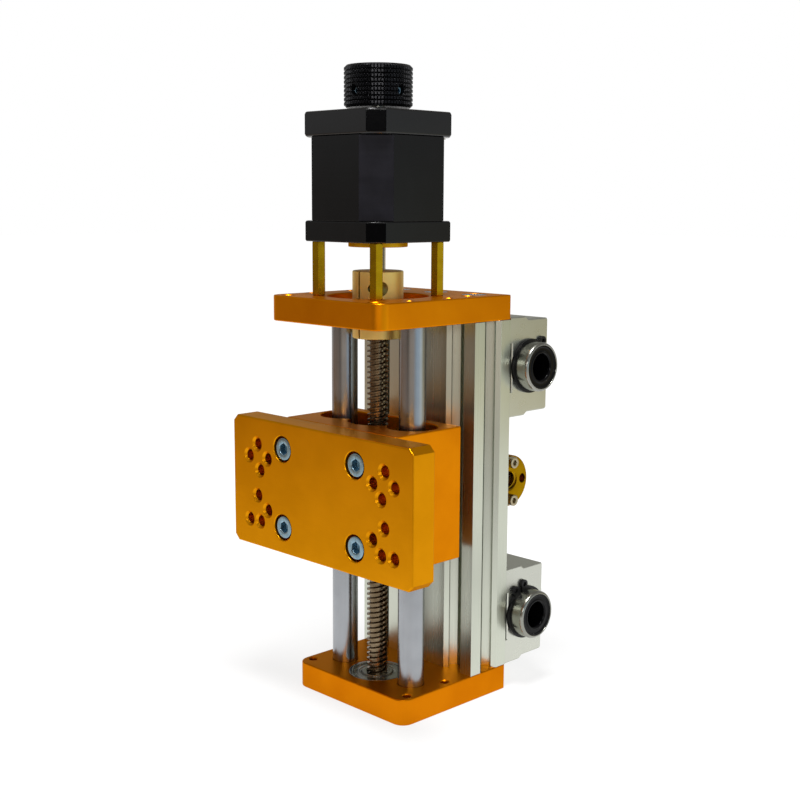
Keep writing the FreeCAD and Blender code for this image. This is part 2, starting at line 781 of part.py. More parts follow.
rear_bell = motor_section("motor_rear_bell", stator_top, d.rear_bell_length, d.bell_chamfer)
connector_half = d.connector_width / 2
pocket(rear_bell, "XY_Plane", stator_top, bearing_seat, d.motor_bearing_width, reverse=True)
pocket(rear_bell, "XY_Plane", stator_top, [circle(0, 0, chamber_radius)], d.chamber_depth, reverse=True)
pocket(rear_bell, "XY_Plane", motor_top, [circle(0, 0, d.shaft_hole / 2)])
connector_front = motor_half - d.connector_inset
pocket(rear_bell, "XY_Plane", stator_top,
       [rectangle(-connector_half, connector_front, connector_half, motor_half + d.connector_inset)],
       d.connector_height, reverse=True)
sunk_holes(rear_bell, "XY_Plane", motor_top, standoff_places, d.motor_screw_hole, d.small_counterbore,
           d.small_counterbore_depth, "Counterbore")
screw_seat = motor_top - d.small_counterbore_depth
long_screw = cap_screw(3.0, (screw_seat - bell_top + d.motor_screw_grip).value)
group("motor_screws", long_screw, [at(x, y, screw_seat) for x, y in standoff_places])

connector = new_body("motor_connector")
connector_back = connector_front + d.connector_depth
socket_half = connector_half - d.connector_wall
socket_low = stator_top + d.connector_wall
socket_high = stator_top + d.connector_height - d.connector_wall
pad(connector, "XY_Plane", stator_top,
    [rectangle(-connector_half, connector_front, connector_half, connector_back)], d.connector_height)
pocket(connector, "XZ_Plane", connector_back, [rectangle(-socket_half, socket_low, socket_half, socket_high)],
       d.connector_depth - d.connector_floor, reverse=True)

bearing_radius = d.motor_bearing_outer / 2
front_bearing_bottom = bell_top - d.motor_bearing_width
outer_ring = Part.makeCylinder(bearing_radius.value, d.motor_bearing_width.value)
ring_bore = (bearing_radius - d.motor_bearing_ring).value
outer_ring = outer_ring.cut(Part.makeCylinder(ring_bore, d.motor_bearing_width.value))
bearing_places = [at(0, 0, front_bearing_bottom), at(0, 0, stator_top)]
group("motor_bearing_outer_rings", outer_ring, bearing_places)
shaft_radius = d.motor_shaft / 2
inner_ring = Part.makeCylinder(shaft_radius.value + d.motor_bearing_ring.value, d.motor_bearing_width.value)
inner_ring = inner_ring.cut(Part.makeCylinder(shaft_radius.value + d.seat.value, d.motor_bearing_width.value))
group("motor_bearing_inner_rings", inner_ring, bearing_places)

shaft_bottom = coupling_middle + d.shaft_gap
shaft_top = knob_bottom + d.knob_length - d.knob_cap
keep(cylinder("motor_shaft", shaft_radius, shaft_top - shaft_bottom, z=shaft_bottom), "motor_shaft")
rotor_bottom = bell_top + (d.stator_length - d.rotor_length) / 2
tube("motor_rotor", d.rotor_diameter / 2, shaft_radius + d.seat, d.rotor_length, z=rotor_bottom)

# Hand knob: ringed grip on the rear shaft, held by two grub screws

knob_radius = d.knob_diameter / 2
knob_bore = shaft_radius + d.seat
knob_top = knob_bottom + d.knob_length
grip = [(knob_bore, knob_bottom), (knob_radius - d.knob_edge, knob_bottom),
        (knob_radius, knob_bottom + d.knob_edge)]
first_ring = knob_bottom + d.knob_length / 2 - d.knob_ring_pitch * (KNOB_RINGS - 1) / 2
for number in range(KNOB_RINGS):
    ring_z = first_ring + d.knob_ring_pitch * number
    half_ring = d.knob_ring_width / 2
    grip += [(knob_radius, ring_z - half_ring), (knob_radius - d.knob_ring_depth, ring_z),
             (knob_radius, ring_z + half_ring)]
grip += [(knob_radius, knob_top - d.knob_edge), (knob_radius - d.knob_edge, knob_top), (knob_bore, knob_top)]
knob = turned("hand_knob", grip)
grub_z = knob_bottom + d.grub_height
grub_radius = d.grub_diameter / 2
pocket(knob, "YZ_Plane", knob_radius, [circle(ZERO, grub_z, grub_radius)], knob_radius)
pocket(knob, "XZ_Plane", -knob_radius, [circle(ZERO, grub_z, grub_radius)], knob_radius)
grub_start = shaft_radius.value + d.seat.value
grub = Part.makeCylinder(grub_radius.value - d.seat.value, d.grub_length.value, Vector(0, 0, grub_start))
grub_hollow = prism(d.grub_socket.value, d.grub_socket_depth.value)
grub_hollow.translate(Vector(0, 0, grub_start + (d.grub_length - d.grub_socket_depth).value))
group("knob_screws", grub.cut(grub_hollow), [at(0, 0, grub_z, TO_RIGHT), at(0, 0, grub_z, TO_FRONT)])

# Linear bearings: a steel sleeve round a resin retainer with end seals


def bearing_sleeve(label, groove_start):
    """A sleeve along Z that ends at the origin, with a retaining-ring groove below that end."""
    edge = d.sleeve_edge
    groove = d.ring_groove / 2
    groove_end = groove_start + d.ring_thickness
    bore = d.sleeve_bore / 2
    return turned(label, [
        (bore, -d.sleeve_length), (sleeve_radius - edge, -d.sleeve_length),
        (sleeve_radius, edge - d.sleeve_length), (sleeve_radius, -groove_end), (groove, -groove_end),
        (groove, -groove_start), (sleeve_radius, -groove_start), (sleeve_radius, -edge),
        (sleeve_radius - edge, ZERO), (bore, ZERO)])


def bearing_retainer():
    """The resin retainer of one linear bearing, along Z, in the sleeve that ends at the origin."""
    outer = d.sleeve_bore.value / 2 - d.seat.value
    inner = d.rod_diameter.value / 2 + d.slip.value
    top = -d.retainer_recess.value
    low = d.retainer_recess.value - d.sleeve_length.value
    edge = d.retainer_edge.value
    points = [(inner, low + edge), (inner + edge, low), (outer, low),
              (outer, top), (inner + edge, top), (inner, top - edge)]
    wire = Part.makePolygon([Vector(r, 0, z) for r, z in points + points[:1]])
    return Part.Face(wire).revolve(Vector(), Vector(0, 0, 1), 360)


retainer = bearing_retainer()
ring_start = d.sleeve_overhang - d.ring_thickness

# Carriage block: two bearing bores and the seat of the lead-screw nut

carriage_block = new_body("carriage_block")
block_half = d.carriage_width / 2
bearing_low = d.carriage_bottom + d.carriage_bearing_lift
bearing_high = bearing_low + d.sleeve_length
nut_floor = carriage_top - d.nut_recess_depth
tool_screw_places = [(d.tool_screw_x / 2 * sx, carriage_middle + d.tool_screw_z / 2 * sz)
                     for sx, sz in square_places]
nut_radius = d.nut_bolt_circle / 2
nut_screw_places = [(nut_radius * (sx * math.sqrt(0.5)), nut_radius * (sy * math.sqrt(0.5)))
                    for sx, sy in square_places]
pad(carriage_block, "XY_Plane", d.carriage_bottom,
    [rectangle(-block_half, -d.carriage_front, block_half, d.carriage_back)], d.carriage_height)
dress_edges(carriage_block, "Chamfer", d.plate_edge, lambda _way, mid: mid.y > 0.01 - d.carriage_front.value)
pocket(carriage_block, "XY_Plane", carriage_top,
       [circle(rod_x * side, 0, sleeve_radius + d.seat) for side in (-1, 1)])
pocket(carriage_block, "XY_Plane", carriage_top, [circle(0, 0, d.nut_recess / 2)], d.nut_recess_depth)
pocket(carriage_block, "XY_Plane", carriage_top, [circle(0, 0, d.nut_boss / 2 + d.nut_boss_room)])
groove_circles = [circle(rod_x * side, 0, sleeve_radius + d.inner_ring_groove) for side in (-1, 1)]
for groove_low in (bearing_low - d.ring_thickness, bearing_high):
    pocket(carriage_block, "XY_Plane", groove_low + d.ring_thickness, groove_circles, d.ring_thickness)
pocket(carriage_block, "XY_Plane", nut_floor,
       [circle(x, y, d.nut_screw_tap / 2) for x, y in nut_screw_places], d.nut_screw_tap_depth)
pocket(carriage_block, "XZ_Plane", -d.carriage_front,
       [circle(x, z, d.tool_screw_tap / 2) for x, z in tool_screw_places], d.tool_screw_tap_depth)

for side, label in ((-1, "carriage_bearing_left"), (1, "carriage_bearing_right")):
    place(bearing_sleeve(label, d.carriage_groove_start), x=rod_x * side, z=bearing_high)
group("carriage_bearing_retainers", retainer, [at(rod_x * side, 0, bearing_high) for side in (-1, 1)])

inner_clip_radius = (sleeve_radius + d.inner_ring_groove - d.seat).value
inner_clip_bore = inner_clip_radius - d.inner_ring_width.value
inner_clip = Part.makeCylinder(inner_clip_radius, d.ring_thickness.value)
inner_clip = inner_clip.cut(Part.makeCylinder(inner_clip_bore, d.ring_thickness.value))
inner_gap = d.inner_ring_gap.value
inner_clip = inner_clip.cut(Part.makeBox(inner_gap, d.sleeve_diameter.value, d.ring_thickness.value,
                                         Vector(-inner_gap / 2, 0, 0)))
group("carriage_retaining_rings", inner_clip,
      [at(rod_x * side, 0, z) for side in (-1, 1) for z in (bearing_low - d.ring_thickness, bearing_high)])

# Tool plate on the front of the carriage

tool_plate = new_body("tool_plate")
tool_half = d.tool_plate_width / 2
pad(tool_plate, "XZ_Plane", -d.carriage_front,
    [rectangle(-tool_half, d.carriage_bottom, tool_half, carriage_top)], d.tool_plate_thickness)
dress_edges(tool_plate, "Chamfer", d.tool_plate_chamfer, lambda way, _mid: abs(way.y) > 0.99)
dress_edges(tool_plate, "Chamfer", d.tool_plate_edge, lambda _way, mid: mid.y < plate_face.value + 0.01)
dress_edges(tool_plate, "Chamfer", d.plate_edge, lambda _way, mid: mid.y > -d.carriage_front.value - 0.01)
sunk_holes(tool_plate, "XZ_Plane", plate_face, tool_screw_places, d.tool_screw_hole, d.tool_counterbore,
           d.tool_counterbore_depth, "Counterbore")
tool_hole_places = [(x * side, carriage_middle + z) for x, z in TOOL_HOLES for side in (-1, 1)]
sunk_holes(tool_plate, "XZ_Plane", plate_face, tool_hole_places, d.tool_hole, d.tool_hole_sink)
group("tool_plate_screws", cap_screw(5.0, d.tool_screw_length.value),
      [at(x, plate_face + d.tool_counterbore_depth, z, TO_FRONT) for x, z in tool_screw_places])

# Flange nuts of the lead screw and of the X screw


def flange_nut(label, flange, hole_places, collar=None):
    """A flange nut along Z, its flange standing on the origin, its boss below and any collar above."""
    bore = d.screw_diameter / 2 + d.slip
    boss = d.nut_boss / 2
    top = d.nut_flange_thickness
    section = [(bore, -d.nut_boss_length), (boss, -d.nut_boss_length), (boss, ZERO), (flange, ZERO),
               (flange, top)]
    if collar:
        section += [(boss, top), (boss, top + collar)]
        top = top + collar
    body = turned(label, section + [(bore, top)])
    pocket(body, "XY_Plane", d.nut_flange_thickness, [circle(x, y, d.nut_hole / 2) for x, y in hole_places],
           d.nut_flange_thickness)
    return body


place(flange_nut("lead_screw_nut", d.nut_flange / 2, nut_screw_places, d.nut_collar), z=nut_floor)
group("lead_screw_nut_screws", cap_screw(3.0, d.nut_screw_length.value),
      [at(x, y, nut_floor + d.nut_flange_thickness) for x, y in nut_screw_places])

# Bearing blocks of the X axis, one for each X rod


def x_block(label, middle):
    """A block across the back of the column, stepped in behind its mounting flange."""
    body = new_body(label)
    half = d.block_height / 2
    rear_half = d.block_rear_height / 2
    relief = d.block_relief_height / 2
    side = [(ZERO, relief), (ZERO, half), (d.block_step, half), (d.block_step + d.block_step_ramp, rear_half),
            (d.block_depth, rear_half)]
    section = [(d.block_relief_depth, relief)] + side
    section += [(u, -v) for u, v in reversed(section)]
    pad(body, "YZ_Plane", -column_half, [outline(section)], d.column_width)
    dress_edges(body, "Fillet", d.block_corner,
                lambda way, mid: abs(way.x) > 0.99 and mid.y > d.block_depth.value - 0.01)
    dress_edges(body, "Chamfer", d.block_edge,
                lambda _way, mid: abs(mid.x) > column_half.value - 0.01 and mid.y > 0.01)
    pocket(body, "YZ_Plane", column_half, [circle(d.block_axis, 0, sleeve_radius + d.seat)])
    bolt_places = [(d.slot_pitch * sx, d.block_bolt_z / 2 * sz) for sx, sz in square_places]
    sunk_holes(body, "XZ_Plane", d.block_depth, bolt_places, d.bolt_hole, d.block_counterbore,
               d.block_counterbore_depth, "Counterbore", reverse=True)
    return place(body, y=column_back, z=middle)


def outer_clip(ear_angle):
    """A retaining ring along Z with its two eared ends at an angle from +X."""
    height = d.ring_thickness.value
    inner = d.ring_groove.value / 2 + d.seat.value
    gap = d.outer_ring_gap.value
    ear_foot = Vector(inner + d.ear_reach.value, 0, 0)
    ring = Part.makeCylinder(inner + d.outer_ring_width.value, height)
    for swing in (-EAR_SWING, EAR_SWING):
        ear = Part.makeCylinder(d.ear_diameter.value / 2, height, ear_foot)
        ear = ear.cut(Part.makeCylinder(d.ear_hole.value / 2, height, ear_foot))
        ear.rotate(Vector(), Vector(0, 0, 1), swing)
        ring = ring.fuse(ear)
    ring = ring.cut(Part.makeCylinder(inner, height))
    ring = ring.cut(Part.makeBox(d.sleeve_diameter.value, gap, height, Vector(0, -gap / 2, 0)))
    ring.rotate(Vector(), Vector(0, 0, 1), ear_angle)
    return ring.removeSplitter()


x_levels = (("upper", upper_block_z, UPPER_EAR_ANGLE), ("lower", lower_block_z, LOWER_EAR_ANGLE))
sleeve_end = column_half + d.sleeve_overhang
right_way = Rotation(Vector(0, 1, 0), Vector(0, 0, 1), Vector(1, 0, 0))
left_way = Rotation(Vector(0, -1, 0), Vector(0, 0, 1), Vector(-1, 0, 0))
clip_solids = []
bolt_places = []
bolt_seat = column_back + d.block_depth - d.block_counterbore_depth
for level, middle, ear_angle in x_levels:
    x_block(f"x_block_{level}", middle)
    for side, name, way in ((-1, "left", left_way), (1, "right", right_way)):
        label = f"x_bearing_{level}_{name}"
        place(bearing_sleeve(label, ring_start), sleeve_end * side, block_y, middle, way)
        group(f"x_retainer_{level}_{name}", retainer, [at(sleeve_end * side, block_y, middle, way)])
        clip = outer_clip(ear_angle if side > 0 else 180 - ear_angle)
        clip.Placement = at(column_half * side, block_y, middle, way).multiply(clip.Placement)
        clip_solids.append(clip)
    for sx, sz in square_places:
        bolt_places.append((d.slot_pitch * sx, middle + d.block_bolt_z / 2 * sz))
x_rings = keep(doc.addObject("Part::Feature", "x_retaining_rings"), "x_retaining_rings")
x_rings.Shape = Part.makeCompound(clip_solids)
x_rings.Placement = Placement()
group("x_block_bolts", cap_screw(4.0, bolt_seat.value - d.bolt_tip.value),
      [at(x, bolt_seat, z, TO_BACK) for x, z in bolt_places])

# Flange nut of the X screw on its bracket

bracket = new_body("x_nut_bracket")
upright_right = d.x_nut_face - d.nut_flange_thickness
upright_left = upright_right - d.bracket_upright
bracket_low = d.x_nut_height - d.bracket_height / 2
foot_back = column_back + d.bracket_foot
lug = d.bracket_lug / 2
pad(bracket, "XY_Plane", bracket_low, [rectangle(-d.bracket_left, column_back, upright_right, foot_back)],
    d.bracket_height)
pad(bracket, "YZ_Plane", upright_left,
    [rectangle(column_back, d.x_nut_height - lug, block_y, d.x_nut_height + lug)], d.bracket_upright)
pad(bracket, "YZ_Plane", upright_left, [circle(block_y, d.x_nut_height, lug)], d.bracket_upright)
pocket(bracket, "YZ_Plane", upright_right,
       [circle(block_y, d.x_nut_height, d.nut_boss / 2 + d.nut_boss_room)], d.bracket_upright)
x_nut_radius = d.x_nut_bolt_circle / 2
x_nut_screw_places = [(block_y, d.x_nut_height + x_nut_radius * sz) for sz in (-1, 1)]
pocket(bracket, "YZ_Plane", upright_right,
       [circle(y, z, d.x_nut_screw_tap / 2) for y, z in x_nut_screw_places], d.bracket_tap_depth)
bracket_bolt_places = [(ZERO, d.x_nut_height + d.bracket_bolt_z / 2 * sz) for sz in (-1, 1)]
pocket(bracket, "XZ_Plane", foot_back, [circle(x, z, d.bolt_hole / 2) for x, z in bracket_bolt_places],
       d.bracket_foot, reverse=True)

x_nut_holes = [(x_nut_radius, ZERO), (-x_nut_radius, ZERO), (ZERO, x_nut_radius), (ZERO, -x_nut_radius)]
x_nut = flange_nut("x_screw_nut", d.x_nut_flange / 2, x_nut_holes)
place(x_nut, upright_right, block_y, d.x_nut_height, right_way)
group("x_nut_screws", cap_screw(2.5, d.x_nut_screw_length.value),
      [at(d.x_nut_face, y, z, TO_RIGHT) for y, z in x_nut_screw_places])
group("bracket_bolts", cap_screw(4.0, foot_back.value - d.bolt_tip.value),
      [at(x, foot_back, z, TO_BACK) for x, z in bracket_bolt_places])

nut_block = Vector(d.slot_nut_width.value, d.slot_nut_thickness.value, d.slot_nut_length.value)
nut_corner = Vector(-nut_block.x / 2, -nut_block.y, -nut_block.z / 2)
slot_nut = Part.makeBox(nut_block.x, nut_block.y, nut_block.z, nut_corner)
tapped_radius = (d.bolt_diameter / 2 + d.seat).value
slot_nut = slot_nut.cut(Part.makeCylinder(tapped_radius, nut_block.y, Vector(), Vector(0, -1, 0)))
group("slot_nuts", slot_nut,
      [at(x, column_back - d.slot_lip, z) for x, z in bolt_places + bracket_bolt_places])

# Checks and export

doc.recompute()
for item in doc.Objects:
    if any(word in item.State for word in ("Invalid", "Error")):
        raise RuntimeError(f"{item.Label} failed: {item.State}")
os.makedirs("parts", exist_ok=True)
for label, piece in nodes.items():
    if piece.Shape.isNull() or not piece.Shape.isValid() or not piece.Shape.Solids:
        raise RuntimeError(f"{label} has no valid solid")
    piece.Shape.exportStep(f"parts/{label}.step")
    print(f"{label}: {len(piece.Shape.Solids)} solid(s), {piece.Shape.Volume:.0f} mm3")
print(f"{len(nodes)} nodes")
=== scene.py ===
"""Looks of a motorised Z-axis slide module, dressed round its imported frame.

Lengths in the classes are millimetres. Meshes are metres, in the frame's own axes: X to the right,
Y to the back and Z up, with the origin on the lead screw's axis under the base plate.
"""
import json
import logging
import math
from dataclasses import dataclass, field, replace
from enum import Enum
from typing import Optional, Sequence, Union

import bmesh
import bpy
from mathutils import Matrix, Vector


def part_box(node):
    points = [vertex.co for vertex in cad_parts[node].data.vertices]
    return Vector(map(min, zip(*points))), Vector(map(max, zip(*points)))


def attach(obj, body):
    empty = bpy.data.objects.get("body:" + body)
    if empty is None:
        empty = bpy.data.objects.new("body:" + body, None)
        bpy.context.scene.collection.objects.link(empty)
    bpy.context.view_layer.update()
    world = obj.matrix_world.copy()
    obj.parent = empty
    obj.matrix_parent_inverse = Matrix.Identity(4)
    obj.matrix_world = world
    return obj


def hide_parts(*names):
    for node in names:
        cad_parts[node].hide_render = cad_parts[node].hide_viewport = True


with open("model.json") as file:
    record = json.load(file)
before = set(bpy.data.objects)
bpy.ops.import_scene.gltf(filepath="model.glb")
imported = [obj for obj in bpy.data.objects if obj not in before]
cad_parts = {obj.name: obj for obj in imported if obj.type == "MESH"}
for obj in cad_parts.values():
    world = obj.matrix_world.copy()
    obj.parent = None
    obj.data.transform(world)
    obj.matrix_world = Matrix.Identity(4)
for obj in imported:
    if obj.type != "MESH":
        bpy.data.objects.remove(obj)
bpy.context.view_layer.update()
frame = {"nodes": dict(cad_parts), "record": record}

LOG = logging.getLogger("z_axis_module")
MM = 0.001
TINY = 1e-9
WELD = 1e-6
# Flat faces round a drilled hole, a turned piece and a piece whose outline shows
HOLE_STEPS = 48
TURN_STEPS = 96
FINE_STEPS = 128
SIDES = (-1, 1)
# How far a cutter stands out of what it cuts
PAST = 1.0
# Bevels that break the mouths of small, common and open holes
FINE_RIM = 0.2
RIM = 0.3
WIDE_RIM = 0.35
# Largest share of a side that a rounding takes
EASE_SHARE = 0.45
# A hexagon's corner from its middle, as a share of half its flats' width
HEX_CORNER = 1.155
# Node types that come often. The two values of a Mix node are inputs 2 and 3 for numbers, 4 and 5 for
# vectors, 6 and 7 for colours.
MATH = "ShaderNodeMath"
VECTOR_MATH = "ShaderNodeVectorMath"
MAP_RANGE = "ShaderNodeMapRange"

Point = tuple[float, float]
Place = tuple[float, float, float]
Section = tuple[Point, ...]
Solid = bmesh.types.BMesh
Mesh = bpy.types.Mesh
Part = Union[Solid, Mesh]
Tree = bpy.types.NodeTree
Socket = bpy.types.NodeSocket
Value = Union[float, Socket]


def linear(hex_colour: str) -> tuple[float, float, float, float]:
    """Turns an sRGB hex colour into linear values.

    Args:
        hex_colour: six hex digits after a hash mark.

    Returns:
        Linear red, green and blue, with an alpha of one.
    """
    parts = [int(hex_colour[start:start + 2], 16) / 255 for start in (1, 3, 5)]
    straight = [part / 12.92 if part <= 0.04045 else ((part + 0.055) / 1.055) ** 2.4 for part in parts]
    return (straight[0], straight[1], straight[2], 1.0)


def feed(tree: Tree, node: bpy.types.Node, values: dict) -> None:
    """Sets a node's inputs, and links those whose value is a socket.

    Args:
        tree: the node tree.
        node: the node.
        values: values or output sockets, by input name or number.
    """
    for key, value in values.items():
        if isinstance(value, Socket):
            tree.links.new(value, node.inputs[key])
        else:
            node.inputs[key].default_value = value


def add_node(tree: Tree, kind: str, values: Optional[dict] = None, out: Union[int, str] = 0,
             **settings) -> Optional[Socket]:
    """Adds one node with its settings, input values and links.

    Args:
        tree: the node tree to add to.
        kind: the node's type name.
        values: values or output sockets, by input name or number.
        out: name or number of the output to hand back.
        settings: properties of the node.

    Returns:
        The output, or nothing from a node without outputs.
    """
    node = tree.nodes.new(kind)
    for name, value in settings.items():
        setattr(node, name, value)
    feed(tree, node, values or {})
    return node.outputs[out] if len(node.outputs) else None


def empty_tree(owner: Union[bpy.types.Material, bpy.types.World]) -> Tree:
    """Switches on a node tree and clears it.

    Args:
        owner: the material or world that has the tree.

    Returns:
        The empty tree.
    """
    owner.use_nodes = True
    owner.node_tree.nodes.clear()
    return owner.node_tree


class Body(Enum):
    """A CAD body that pieces ride on."""

    FRAME = "frame"
    CARRIAGE = "carriage"
    SCREW = "screw"


class Way(Enum):
    """A direction that the Z axis of a piece can point in."""

    UP = (0, 0, 1)
    DOWN = (0, 0, -1)
    FRONT = (0, -1, 0)
    BACK = (0, 1, 0)
    RIGHT = (1, 0, 0)
    LEFT = (-1, 0, 0)

    def turn(self) -> Matrix:
        """The rotation that points the Z axis this way."""
        return Vector((0, 0, 1)).rotation_difference(Vector(self.value)).to_matrix().to_4x4()


# Finishes


@dataclass(frozen=True)
class Finish:
    """A surface finish: a base colour, the grain that its making leaves and how it takes light.

    Attributes:
        name: what the real material is and how its surface was made, with any shade or reflection painted
            into its colour.
        slot: the record's material slot.
        colour: main colour, sRGB hex.
        shade: colour of the darker patches, sRGB hex.
        metallic: share of metal in the shader.
        roughness: lowest and highest roughness over the grain.
        grain: length of the grain along X, Y and Z, in mm.
        depth: height of the grain, in mm.
        patch: size of the patches of the darker colour, in mm.
        edge: radius that breaks the sharp edges, in mm.
        rim: colour of the reflection at a grazing angle, sRGB hex.
        gloss: specular level of a surface that isn't metal.
    """

    name: str
    slot: str
    colour: str
    shade: str
    metallic: float
    roughness: tuple[float, float]
    grain: tuple[float, float, float]
    depth: float
    patch: float = 12.0
    edge: float = 0.15
    rim: str = "#FFFFFF"
    gloss: float = 0.5

    def material(self) -> bpy.types.Material:
        """The node material of this finish, made once."""
        made = bpy.data.materials.get(self.name)
        if not made:
            made = bpy.data.materials.new(self.name)
            self.dress(empty_tree(made))
        return made

    def dress(self, tree: Tree) -> None:
        """Builds the shader.

        Args:
            tree: the material's empty node tree.
        """
        place = add_node(tree, "ShaderNodeTexCoord", out="Object")
        stretch = [1 / (length * MM) for length in self.grain]
        along = add_node(tree, "ShaderNodeMapping", {"Vector": place, "Scale": stretch})
        grain = add_node(tree, "ShaderNodeTexNoise",
                         {"Vector": along, "Scale": 1.0, "Detail": 2.0, "Roughness": 0.5})
        patch = add_node(tree, "ShaderNodeTexNoise",
                         {"Vector": place, "Scale": 1 / (self.patch * MM), "Detail": 3.0})
        share = add_node(tree, MAP_RANGE, {"Value": patch, "From Min": 0.35, "From Max": 0.65})
        colours = {"Factor": share, 6: linear(self.shade), 7: linear(self.colour)}
        colour = add_node(tree, "ShaderNodeMix", colours, 2, data_type="RGBA")
        low, high = self.roughness
        rough = add_node(tree, MAP_RANGE, {"Value": grain, "From Min": 0.3, "From Max": 0.7,
                                           "To Min": low, "To Max": high})
        worn = add_node(tree, "ShaderNodeBevel", {"Radius": self.edge * MM}, samples=4)
        bump = add_node(tree, "ShaderNodeBump",
                        {"Strength": 1.0, "Distance": self.depth * MM, "Height": grain, "Normal": worn})
        shader = add_node(tree, "ShaderNodeBsdfPrincipled",
                          {"Base Color": colour, "Metallic": self.metallic, "Roughness": rough,
                           "Normal": bump, "Specular Tint": linear(self.rim),
                           "Specular IOR Level": self.gloss})
        add_node(tree, "ShaderNodeOutputMaterial", {"Surface": shader})


# Bead-blasted and dyed: a saturated satin metal with a fine even speckle, warm at a grazing angle.
ORANGE = Finish("orange_anodised_aluminium", "orange_anodised", "#EC8E08", "#E28406", 1.0, (0.32, 0.4),
                (0.4, 0.4, 0.4), 0.003, patch=18.0, edge=0.2, rim="#F6E4BC")
# The tool plate's copy of the orange anodise: a little more yellow, over faint lines along X.
GOLDEN = replace(ORANGE, name="golden_anodised_aluminium", colour="#E6980C", shade="#DC9008",
                 grain=(5.0, 0.5, 0.35))
# A darker copy of the orange anodise for the base plate: painted shade for its darker reflections.
ORANGE_PAINTED_SHADE = replace(ORANGE, name="orange_anodised_aluminium_painted_shade", colour="#DA7E06", shade="#D07404")
# Drawn profile, anodised natural: faint lines along its length and a slightly green grey.
SILVER = Finish("natural_anodised_aluminium", "silver_anodised", "#D2D6C8", "#CACEC0", 1.0, (0.27, 0.29),
                (0.6, 0.6, 60.0), 0.0003, patch=40.0, rim="#D8D8D0")
# The same anodise on the cross blocks, which are drawn along X.
SILVER_ACROSS = replace(SILVER, name="natural_anodised_aluminium_across", colour="#D4D6CC", shade="#CCCEC2",
                        grain=(60.0, 4.0, 4.0), depth=0.0)
# Ground and hard-chromed rod: bright, with soft reflections that streak a little along its length.
CHROME = Finish("hard_chromed_steel", "chromed_steel", "#A4A7AB", "#9DA0A4", 1.0, (0.2, 0.26),
                (0.6, 0.6, 40.0), 0.0005, patch=9.0)
# Centreless-ground bearing ring along Z: bright, with fine rings in its shine.
BEARING = Finish("ground_bearing_steel", "bearing_steel", "#A0A098", "#94948C", 1.0, (0.2, 0.24),
                 (9.0, 9.0, 0.4), 0.0, patch=8.0)
# The same steel on the bearings that lie along X.
BEARING_ACROSS = replace(BEARING, name="ground_bearing_steel_across", grain=(0.4, 9.0, 9.0))
# Zinc plate, bright and slightly blue, over machined heads.
ZINC = Finish("zinc_plated_steel", "zinc_steel", "#9AB8C8", "#86A4B4", 1.0, (0.22, 0.3),
              (0.6, 0.6, 0.6), 0.002, patch=2.5, edge=0.1)
# Bare turned steel, made a little warm by a painted reflection of the brass nut under its heads.
STEEL_BRASS_REFLECTION = replace(ZINC, name="turned_steel_painted_brass_reflection", colour="#B8AC90", shade="#A69A7E")
# Rolled thread under a film of oil: a brown grey that shines.
SCREW = Finish("oiled_rolled_steel", "screw_steel", "#8C7C64", "#70604A", 1.0, (0.2, 0.32),
               (1.2, 1.2, 0.6), 0.001, patch=4.0, edge=0.1)
# Manganese phosphate on spring steel: near black, softly shining.
PHOSPHATE = Finish("phosphated_spring_steel", "spring_steel", "#141416", "#0E0E10", 0.5, (0.3, 0.42),
                   (0.5, 0.5, 0.5), 0.003, patch=3.0)
# Turned free-cutting brass: yellow, with fine rings in its shine.
BRASS = Finish("machined_brass", "brass", "#B88E12", "#A87E0E", 1.0, (0.24, 0.3),
               (3.0, 3.0, 0.5), 0.0, patch=6.0, edge=0.12, rim="#C8A030")
# The cross nut's brass, duller and browner.
DULL_BRASS = replace(BRASS, name="dull_machined_brass", colour="#A47E16", shade="#967010")
# Turned aluminium, pale gold and satin: faint rings from the tool in its shine.
TURNED = Finish("turned_aluminium", "coupling_aluminium", "#FFE28C", "#F6D880", 1.0, (0.46, 0.5),
                (6.0, 6.0, 0.5), 0.0, patch=14.0, edge=0.2)
# The motor's bare pilot: a warm gold that is a painted reflection of the orange plate below it.
PILOT_ORANGE_REFLECTION = replace(TURNED, name="pilot_steel_painted_orange_reflection", colour="#E8B020", shade="#D8A018",
                     rim="#D0A028")
# Black satin paint on the motor's castings: a soft sheen over a fine orange peel.
PAINT = Finish("black_satin_paint", "black_paint", "#0C0C0D", "#0A0A0B", 0.0, (0.14, 0.2),
               (1.2, 1.2, 1.2), 0.002, patch=10.0, edge=0.3)
# The front bell's coat, flatter than the rear one's.
FLAT = replace(PAINT, name="black_flat_paint", gloss=0.28)
# The same paint over the stacked sheets, whose edges show as fine lines drawn coarser than life.
STACK = replace(PAINT, name="black_painted_laminations", shade="#09090A", gloss=0.25,
                grain=(40.0, 40.0, 0.9), depth=0.008, edge=0.15)
# The stack's ground corners, duller and a little blue, where the sheet edges show most.
CORNER = replace(STACK, name="black_ground_laminations", colour="#201F26", shade="#18171D", gloss=0.1,
                 roughness=(0.3, 0.45), depth=0.02)
# Painted shade on the bells' bevelled corners: a deeper black than their paint, with almost no shine.
BELL_CORNER_SHADE = replace(PAINT, name="black_paint_painted_shade", colour="#050506", shade="#040405", gloss=0.02,
               roughness=(0.2, 0.3))
# Knurled and black-anodised aluminium: dark, with a metal's shine on its ribs.
KNOB = Finish("black_anodised_aluminium", "black_anodised", "#17171A", "#101013", 0.7, (0.16, 0.24),
              (0.5, 0.5, 0.5), 0.002, patch=5.0, edge=0.08)
# Glass-filled resin of the bearing retainers and seals: black, with a dull moulded skin.
RESIN = Finish("moulded_black_resin", "black_resin", "#08080A", "#050507", 0.0, (0.16, 0.22),
               (0.8, 0.8, 0.8), 0.002, patch=4.0, gloss=0.14)
# Natural nylon of the connector housing: a warm white with a soft skin.
NYLON = Finish("moulded_nylon", "connector_plastic", "#E4E0D2", "#D6D1C0", 0.0, (0.4, 0.55),
               (0.8, 0.8, 0.8), 0.006, patch=5.0, edge=0.2)
